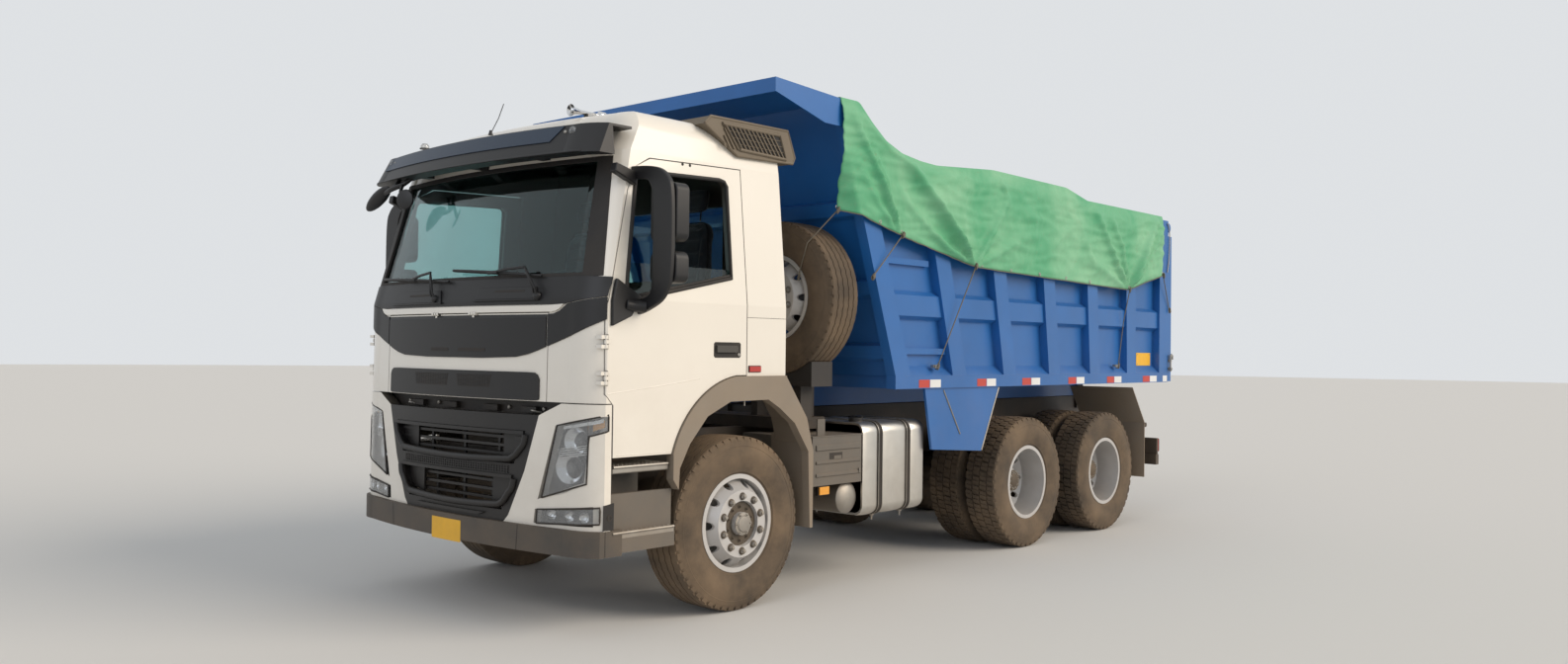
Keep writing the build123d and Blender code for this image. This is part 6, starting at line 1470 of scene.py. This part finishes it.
# Each fold: its line from the eyelet up, its height, and its width at the eyelet and at the far end.
FOLDS = (
    (((-2.433, 2.262), (-2.052, 2.593), (-1.694, 2.864), (-1.143, 3.201)), 0.113, 0.020, 0.060),
    (((-1.504, 2.430), (-1.269, 2.782), (-1.043, 3.074), (-0.960, 3.220)), 0.064, 0.012, 0.035),
    (((-1.470, 2.450), (-1.322, 2.788), (-1.172, 3.012)), 0.043, 0.012, 0.030),
    (((-1.440, 2.450), (-1.180, 2.700), (-0.985, 2.930)), 0.031, 0.015, 0.040),
    (((-2.400, 2.275), (-2.055, 2.385), (-1.786, 2.535), (-1.499, 2.725)), 0.056, 0.014, 0.040),
    (((-2.433, 2.262), (-2.627, 2.427), (-2.829, 2.552)), 0.048, 0.010, 0.030),
    (((-2.440, 2.262), (-2.692, 2.541), (-2.928, 2.821), (-2.850, 2.990)), 0.052, 0.012, 0.050),
    (((-2.450, 2.262), (-2.970, 2.452), (-3.442, 2.602)), 0.035, 0.012, 0.060),
    (((-2.910, 2.857), (-2.839, 2.942), (-2.786, 3.028)), 0.039, 0.018, 0.030),
    (((-5.025, 2.205), (-4.732, 2.495), (-4.502, 2.772), (-4.360, 2.930)), 0.064, 0.012, 0.050),
    (((-5.025, 2.205), (-4.914, 2.593), (-4.680, 2.873)), 0.056, 0.010, 0.035),
    (((-5.025, 2.205), (-4.334, 2.427), (-4.073, 2.816)), 0.039, 0.014, 0.080),
    (((-5.030, 2.205), (-5.348, 2.580), (-5.697, 2.933)), 0.109, 0.014, 0.045),
    (((-5.030, 2.205), (-5.548, 2.594), (-5.829, 2.865)), 0.056, 0.012, 0.035),
    (((-5.035, 2.205), (-5.420, 2.330), (-5.790, 2.430)), 0.027, 0.012, 0.040),
    (((-3.675, 2.503), (-4.033, 2.731)), 0.022, 0.030, 0.030),
    (((-3.143, 2.729), (-3.555, 2.709)), 0.022, 0.030, 0.030),
)
# Where the front corner's cloth turns in, as (z, x), and how far the body's side lies from the middle.
TURNED_IN = ((2.530, -1.063), (2.700, -1.005), (2.912, -0.942), (3.100, -0.872))
BASE_Y, REACH = 1.2725, 0.5


# %% How far the folds stand out
def fold_height(x, z):
    """How far the folds lift the skirt off the body's side at a place on it."""
    spot = Vector((x, z))
    total = 0.0
    for line, height, narrow, wide in FOLDS:
        ends = sorted((line[0][0], line[-1][0]))
        if not ends[0] - REACH <= x <= ends[1] + REACH:
            continue
        best = (math.inf, 0.0)
        for k, (start, end) in enumerate(zip(line, line[1:])):
            along = Vector(end) - Vector(start)
            t = min(1.0, max(0.0, (spot - Vector(start)).dot(along) / along.length_squared))
            best = min(best, ((spot - Vector(start) - along * t).length, (k + t) / (len(line) - 1)))
        away, share = best
        width = narrow + (wide - narrow) * share
        ridge = height * min(1.0, 0.25 + share / 0.18) * (1 - share) ** 0.45
        total = max(total, ridge / (1 + (away / width) ** 2))
    return total


def small_creases(x, z, seed):
    """Low waves and level wrinkles from packing and from wind."""
    wave = 0.5 + 0.5 * noise.noise(Vector((x * 2.6, z * 2.2, seed)))
    wrinkle = 1 - abs(noise.noise(Vector((x * 2.4 + z, z * 13, seed + 5))))
    fine = 1 - abs(noise.noise(Vector((x * 9, z * 7 + x * 3, seed + 9))))
    return 0.024 * wave + 0.014 * wrinkle ** 3 + 0.007 * fine ** 3


def run_along(line, share):
    """The place at a share of the way along a line of (x, z) points."""
    legs = [(Vector(b) - Vector(a)).length for a, b in zip(line, line[1:])]
    left = share * sum(legs)
    for a, b, leg in zip(line, line[1:], legs):
        if left <= leg:
            return Vector(a).lerp(Vector(b), left / leg)
        left -= leg
    return Vector(line[-1])


# %% One place on a skirt
COLUMNS, SKIRT_ROWS, TOP_ROWS, CLOTH = 250, 42, 46, 0.003


def eased(value, low, high):
    """0 below low, 1 above high and a smooth rise between."""
    t = min(1.0, max(0.0, (value - low) / (high - low)))
    return t * t * (3 - 2 * t)


def skirt_point(top, hem, t, seed):
    """A place on a skirt, t of the way up from the hem, as (x, distance from the middle, z)."""
    x, z = hem.lerp(top, t)
    lift = fold_height(x, z) + small_creases(x, z, seed)
    y = BASE_Y + lift * eased(1 - t, 0.0, 0.12)
    crease = TURNED_IN[-1][1]
    for (z0, x0), (z1, x1) in zip(TURNED_IN, TURNED_IN[1:]):
        if z <= z1:
            crease = x0 + (x1 - x0) * max(0.0, z - z0) / (z1 - z0)
            break
    if x > crease:
        turn = 0.76 * eased(3.02 - z, 0.0, 0.35)
        y -= (x - crease) * math.sin(turn)
        x = crease + (x - crease) * math.cos(turn)
    return x, y, z


# %% Places of the whole sheet
EDGE_DROP, SLACK_BACK, SLACK_HALF = 0.008, -1.15, 1.19
tops, hems = ([run_along(line, k / COLUMNS) for k in range(COLUMNS + 1)] for line in (COVER_TOP, COVER_HEM))
inner = [(tops[k - 1] + 2 * tops[k] + tops[k + 1]) / 4 for k in range(1, COLUMNS)]
tops = [tops[0]] + inner + [tops[-1]]
rows = []
for top, hem in zip(tops, hems):
    skirts = []
    for way, seed in ((1, 3), (-1, 17)):
        edge = top - Vector((0, EDGE_DROP))
        side = [skirt_point(edge, hem, t / SKIRT_ROWS, seed) for t in range(SKIRT_ROWS + 1)]
        side += [(top.x, BASE_Y - 0.0024, top.y - 0.0024), (top.x, BASE_Y - EDGE_DROP, top.y)]
        skirts.append([Vector((FRONT_AXLE + x, way * y, z)) for x, y, z in side])
    across = []
    for j in range(1, TOP_ROWS):
        y = (BASE_Y - EDGE_DROP) * (1 - 2 * j / TOP_ROWS)
        free = eased(SLACK_HALF - abs(y), 0.0, 0.35) * eased(SLACK_BACK - top.x, 0.0, 0.5)
        sag = 0.030 * (1 - (y / SLACK_HALF) ** 2) - 0.018 * noise.noise(Vector((top.x * 1.7, y * 1.7, 31)))
        ripple = 0.006 * noise.noise(Vector((top.x * 6, y * 5, 41))) * eased(SLACK_BACK - top.x, 0.0, 0.3)
        across.append(Vector((FRONT_AXLE + top.x, y, top.y - free * sag + max(0.0, ripple))))
    rows.append(skirts[0] + across + skirts[1][::-1])


# %% The sheet as a mesh
def woven_face(bm, grid, turn):
    """Four-sided faces over a grid of vertices; turn is -1 for the face that looks in."""
    for low, high in zip(grid, grid[1:]):
        for quad in zip(low, low[1:], high[1:], high):
            bm.faces.new(quad[::turn])


def rim_of(grid):
    """The vertices round the edge of a grid, in order."""
    inner = grid[1:-1]
    return grid[0] + [row[-1] for row in inner] + grid[-1][::-1] + [row[0] for row in inner[::-1]]


def length_of(run):
    """The length of a run of points."""
    return sum((b - a).length for a, b in zip(run, run[1:]))


MEASURED = 150  # the column over the middle of the body, where the width is taken
bm = bmesh.new()
grid = [[bm.verts.new(spot) for spot in row] for row in rows]
woven_face(bm, grid, -1)
bm.normal_update()
second = [[bm.verts.new(v.co + CLOTH * v.normal) for v in row] for row in grid]
woven_face(bm, second, 1)
under, over = rim_of(grid), rim_of(second)
for k in range(len(under)):
    bm.faces.new((under[k - 1], under[k], over[k], over[k - 1]))
print("cover: across", round(length_of(rows[MEASURED]), 2), "along", round(length_of(tops), 2))
cloth_area = sum(face.calc_area() for face in bm.faces) / 2
hem_lines = [[row[end].co.copy() for row in second] for end in (0, -1)]
cover = piece("cover_sheet", bm, [cover_cloth], "tipper", sharp=180)
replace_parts(cover, "tarp")
print("cover: cloth area", round(cloth_area, 2))

# %% [markdown]
# ## Hem rope, eyelets and ties
# The rope in the hem is laid polypropylene, gone grey. Zinc-plated eyelets are punched through the hem.
# Five ties a side run from the eyelets: to the spare wheel, to the front post, to hooks under the rail and
# to the rear corner. Taut ties are straight, so they are plain rods, with turns of rope as a knot at each
# end.

# %% Ties, knots and eyelets' places
# Each tie: its eyelet as (x, z), then the places it runs to; x counts from the front axle.
TIES = (((-0.890, 2.560), [(-0.800, 1.045, 2.335), (-0.812, 0.957, 2.108)]),
        ((-1.504, 2.430), [(-1.229, 1.2765, 2.120)]),
        ((-2.433, 2.262), [(-2.020, 1.2765, 1.500)]),
        ((-5.025, 2.205), [(-5.021, 1.2765, 1.912), (-4.919, 1.2765, 1.500)]),
        ((-5.800, 2.378), [(-6.005, 1.2765, 2.045)]))
EYELET = ((0, 0.007), (0, 0.015), (0.002, 0.014), (0.003, 0.011), (0.002, 0.008))


def knot(bm, spot, along, size=0.016):
    """Three turns of rope round a line, seen as a knot."""
    up = Vector((0, 0, 1))
    turns = [2 * math.pi * k / 12 for k in range(14)]
    for shift in (-0.009, 0.0, 0.009):
        middle = spot + along * shift
        ring = [middle + size * (up * math.cos(t) + along.cross(up) * math.sin(t)) for t in turns]
        swept(bm, ring, 0.005, 6)


def eyelet_near(hem_line, x, first):
    """The place of the hem nearest to an x; the first tie takes the foremost one."""
    return min(hem_line, key=lambda spot: abs(spot.x - FRONT_AXLE - x) - (spot.x if first else 0))


# %% Hem rope, eyelets and ties
for (way, side_name), hem_line in zip(SIDES, hem_lines):
    bm = bmesh.new()
    out = Vector((0, way, 0))
    swept(bm, [spot + out * 0.004 for spot in hem_line], 0.0035, 6)
    piece(f"cover_hem_{side_name}", bm, [rope_fibre], "tipper", sharp=60)
    bm = bmesh.new()
    eyes = [eyelet_near(hem_line, tie[0][0], tie is TIES[0]) for tie in TIES]
    for spot in eyes + [hem_line[k] for k in range(20, COLUMNS - 10, 22)]:
        place = at(spot + out * 0.0005 + Vector((0, 0, 0.022)), Matrix.Scale(way, 4, (0, 1, 0)))
        turned(bm, EYELET, place, 16, closed=True)
    piece(f"cover_eyelets_{side_name}", bm, [zinc_steel], "tipper", sharp=60)
    bm = bmesh.new()
    for eye, (_, run) in zip(eyes, TIES):
        path = [eye + out * 0.008] + [Vector((FRONT_AXLE + x, way * y, z)) for x, y, z in run]
        swept(bm, path, 0.0045, 8)
        for end, near in ((path[0], path[1]), (path[-1], path[-2])):
            knot(bm, end + out * 0.006, (near - end).normalized())
    piece(f"cover_ties_{side_name}", bm, [rope_fibre], "tipper", sharp=60)

# %% [markdown]
# ## Body side
# The side is welded from plate. Ribs are folded channels, so their corners are round and a weld runs down
# each edge. The rail carries strips of prismatic tape, stuck on in pairs, red and white. A blank yellow
# plate, rope hooks and pale steel strips along the hanging panel's slanting edges finish it.

# %% Measures of the body's side
RIB_TOPS, RIB_HALF, RIB_PITCH, WELD_Y = 2.850, 0.0925, 0.720, 1.2022
TAPE_Y, TAPE_Z = (1.2702, 1.2715), (1.345, 1.403)
# Each pair of strips, as x from the front axle: the red one's front, where they meet, the white one's back.
TAPES = ((-1.796, -1.932, -2.072), (-2.566, -2.699, -2.834), (-3.236, -3.376, -3.520),
         (-4.000, -4.141, -4.285), (-4.714, -4.854, -4.997), (-5.443, -5.592, -5.744))
LAST_TAPE = (-5.975, -5.881)
ROPE_HOOK = ((1.255, 1.480), (1.276, 1.485), (1.278, 1.520))


def on_rail(bm, way, back, front, index):
    """One strip of tape on the rail."""
    block(bm, (FRONT_AXLE + back, FRONT_AXLE + front), [way * y for y in TAPE_Y], TAPE_Z, index)


# %% Welds, tape and edges of both sides
for way, side_name in SIDES:
    bm = bmesh.new()
    for i in range(1, 6):
        middle = BODY_FRONT - RIB_HALF - i * RIB_PITCH
        lean = POST_LEAN * (1 - i / 6) ** 1.4 * (RIB_TOPS - POST_FOOT)
        for edge in (-RIB_HALF, RIB_HALF):
            ends = (middle + edge, 1.500), (middle + edge + lean, RIB_TOPS)
            swept(bm, [(x, way * WELD_Y, z) for x, z in ends], 0.005, 6)
    for z in (2.850, 1.8353, 2.0497):
        swept(bm, [(x, way * WELD_Y, z) for x in (BODY_BACK + 0.185, post_x(z) - 0.185)], 0.004, 6)
    swept(bm, [(x, way * 1.268, 1.4302) for x in (BODY_BACK, BODY_FRONT - 0.12)], 0.0035, 6)
    piece(f"side_welds_{side_name}", bm, [body_enamel], "tipper", sharp=60)
    bm = bmesh.new()
    for front, middle, back in TAPES:
        on_rail(bm, way, middle + 0.004, front, 0)
        on_rail(bm, way, back, middle - 0.004, 1)
    on_rail(bm, way, *LAST_TAPE, 1)
    piece(f"rail_tape_{side_name}", bm, [red_tape, white_tape], "tipper")
    bm = bmesh.new()
    # Pale steel strips along the hanging panel's two slanting edges.
    swept(bm, [(0.266, way * 1.2565, 1.323), (0.041, way * 1.2565, 0.987)], 0.006, 8)
    swept(bm, [(-0.505, way * 1.2545, 1.331), (-0.262, way * 1.2545, 0.848)], 0.0065, 8)
    for x in (0.375, -2.524):
        block(bm, (x - 0.030, x + 0.030), (way * 1.235, way * 1.262), (1.488, 1.512))
        swept(bm, curve([(x, way * y, z) for y, z in ROPE_HOOK], 4), 0.006, 8)
    piece(f"side_edges_{side_name}", bm, [zinc_steel], "tipper")

# %% Plate on the side
bm = bmesh.new()
block(bm, (FRONT_AXLE - 5.738, FRONT_AXLE - 5.437), (1.2025, 1.2050), (1.500, 1.622))
for x in (-5.715, -5.460):
    for z in (1.515, 1.607):
        rivet = wheel_place(FRONT_AXLE + x, 1.205, z)
        turned(bm, [(0, 0), (0, 0.006), (0.002, 0.005), (0.002, 0)], rivet, 12, 1)
piece("side_sign", bm, [yellow_plate, zinc_steel], "tipper", bevel=0.0006)

# %% [markdown]
# ## Tailgate fittings
# The gate hangs from two eyes and is held shut by a hook at each lower corner, which turns on a pin and
# drops over a lug. A thin bent rod hangs down the outside of each rear post. The photograph doesn't show
# the back, so these are the usual ones.

# %% Tailgate fittings
LEVER = ((-3.612, 1.440), (-3.612, 1.600), (-3.640, 1.618), (-3.678, 1.600), (-3.678, 1.560), (-3.655, 1.560),
         (-3.655, 1.585), (-3.636, 1.590), (-3.636, 1.440))
POST_ROD = ((-3.560, 1.276, 2.905), (-3.600, 1.280, 2.800), (-3.590, 1.280, 2.560), (-3.560, 1.277, 2.420))
bm = bmesh.new()
for way in (1, -1):
    for z in (1.47, 1.55):
        block(bm, (-3.672, -3.602), (way * 1.2715, way * 1.280), (z - 0.012, z + 0.012))
    prism(bm, LEVER, way * 1.281, way * 1.293)
    turned(bm, [(0, 0), (0, 0.016), (0.010, 0.015), (0.012, 0)], wheel_place(-3.624, way * 1.292, 1.468), 16)
    swept(bm, curve([(x, way * y, z) for x, y, z in POST_ROD]), 0.0055, 8)
piece("gate_hooks", bm, [zinc_steel], "tipper", bevel=0.0015)

# %% [markdown]
# ## Fuel tank, step box, air tank and lamps
# The tank is rolled from aluminium sheet, and its skin bulges between two steel straps lined with rubber.
# The step box has pressed ribs and a slot for the hand. The air tank is spun steel with domed ends. The side
# marker and the rear lamps are coloured lenses on flat black bases.


# %% Fuel tank
def tank_section(grow):
    """The tank's outline as (y, z), made larger all round by grow."""
    return rounded(0.560 - grow, 1.200 + grow, 0.464 - grow, 1.105 + grow, 0.070 + grow, 6)


bm = bmesh.new()
for front, back in ((1.160, 0.994), (0.936, 0.664), (0.606, 0.445)):
    rings = []
    for k in range(11):
        outline = tank_section(0.0006 + 0.0075 * math.sin(math.pi * k / 10) ** 0.6)
        rings.append([bm.verts.new((front + (back - front) * k / 10, y, z)) for y, z in outline])
    skinned(bm, rings)
piece("tank_skin", bm, [tank_metal], "chassis", sharp=50)

# %% Tank straps
bm = bmesh.new()
line = tank_section(0.0075)
for strap in (0.965, 0.635):
    for edge in (-0.021, 0.021):
        swept(bm, [(strap + edge, y, z) for y, z in line + line[:2]], 0.0035, 6)
    for y in (0.62, 1.13):
        turned(bm, [(0, 0), (0, 0.007), (0.05, 0.007), (0.05, 0)], at((strap, y, 0.415), UPWARD), 10)
        nut(bm, at((strap, y, 0.452), Matrix.Rotation(-math.pi / 2, 4, "X")), 0.0, 0.014, 0.012)
piece("tank_strap_edges", bm, [zinc_steel], "chassis", sharp=50)

# %% Tank cap
bm = bmesh.new()
turned(bm, [(0.005, 0), (0.005, 0.052), (0.010, 0.054), (0.030, 0.054), (0.034, 0.050), (0.036, 0)],
       at((1.080, 1.070, 1.105), UPWARD), 24)
block(bm, (1.070, 1.090), (1.010, 1.130), (1.140, 1.147))
piece("tank_cap", bm, [black_abs], "chassis", bevel=0.0015)

# %% Step box
BOX_BLOCKS = (((1.172, 1.700), (0.900, 1.204), (1.029, 1.036), 0),
              ((1.383, 1.520), (1.1995, 1.2012), (0.876, 0.920), 1),
              ((1.395, 1.475), (1.2008, 1.2035), (0.876, 0.900), 0),
              ((1.523, 1.601), (1.150, 1.162), (1.030, 1.146), 0),
              ((1.205, 1.212), (1.200, 1.215), (0.770, 0.800), 2))
MARKER_BLOCKS = (((1.506, 1.617), (1.160, 1.186), (0.637, 0.702), 1),
                 ((1.512, 1.611), (1.185, 1.197), (0.643, 0.696), 0),
                 ((1.545, 1.578), (1.150, 1.162), (0.690, 0.706), 1))
bm = bmesh.new()
for low, high in ((0.934, 0.980), (0.845, 0.872), (0.760, 0.790)):
    plate(bm, 1, [(1.1995, low), (1.2085, low + 0.008), (1.2085, high - 0.008), (1.1995, high)], 1.19, 1.66)
for spans in BOX_BLOCKS:
    block(bm, *spans)
piece("box_ribs", bm, [grey_pp, seal_rubber, zinc_steel], "chassis", bevel=0.002)

# %% Air tank
AIR_TANK = at((1.285, 1.148, 0.598))
bm = bmesh.new()
turned(bm, [(0, 0), (0, 0.1085), (0.006, 0.1085), (0.014, 0.100), (0.026, 0.078), (0.034, 0.045), (0.037, 0)],
       AIR_TANK, 36)
turned(bm, [(-0.30, 0), (-0.30, 0.1085), (-0.285, 0.1085), (-0.285, 0)], AIR_TANK, 36)
piece("air_tank_ends", bm, [zinc_steel], "chassis", sharp=35)

# %% Marker lamp
bm = bmesh.new()
for spans in MARKER_BLOCKS:
    block(bm, *spans)
piece("side_marker", bm, [amber_lens, black_abs], "chassis", bevel=0.003)

# %% Rear lamps
bm = bmesh.new()
for way in (1, -1):
    plate(bm, way, rounded(0.885, 1.175, 0.645, 0.775, 0.012), -3.6290, -3.6245, 2)
    for inner, outer, index in ((0.895, 0.968, 1), (0.974, 1.090, 0), (1.096, 1.165, 3)):
        plate(bm, way, rounded(inner, outer, 0.654, 0.766, 0.008), -3.6380, -3.6285, index)
piece("rear_lamp_lenses", bm, [red_lens, clear_lens, black_abs, amber_lens], "chassis",
      bevel=0.002)

# %% [markdown]
# ## Rounded edges on the large solids
# Folded plate has a bend radius of a few millimetres. A small rounding on the largest solids gives each
# edge its thin line of light.

# %% Rounded edges on the large solids
EDGES = {"body_side_left": 4, "body_side_right": 4, "tailgate": 4, "body_front": 3, "frame": 3, "subframe": 3,
         "bumper": 6, "steps": 4, "side_boxes": 5, "rear_bar": 3, "sun_visor": 3}
for name, size in EDGES.items():
    rounding = nodes[name].modifiers.new("edges", "BEVEL")
    rounding.width, rounding.segments, rounding.limit_method = size / 1000, 2, "ANGLE"
    rounding.angle_limit, rounding.harden_normals = math.radians(35), True
    print(name, "edge radius in mm:", size)
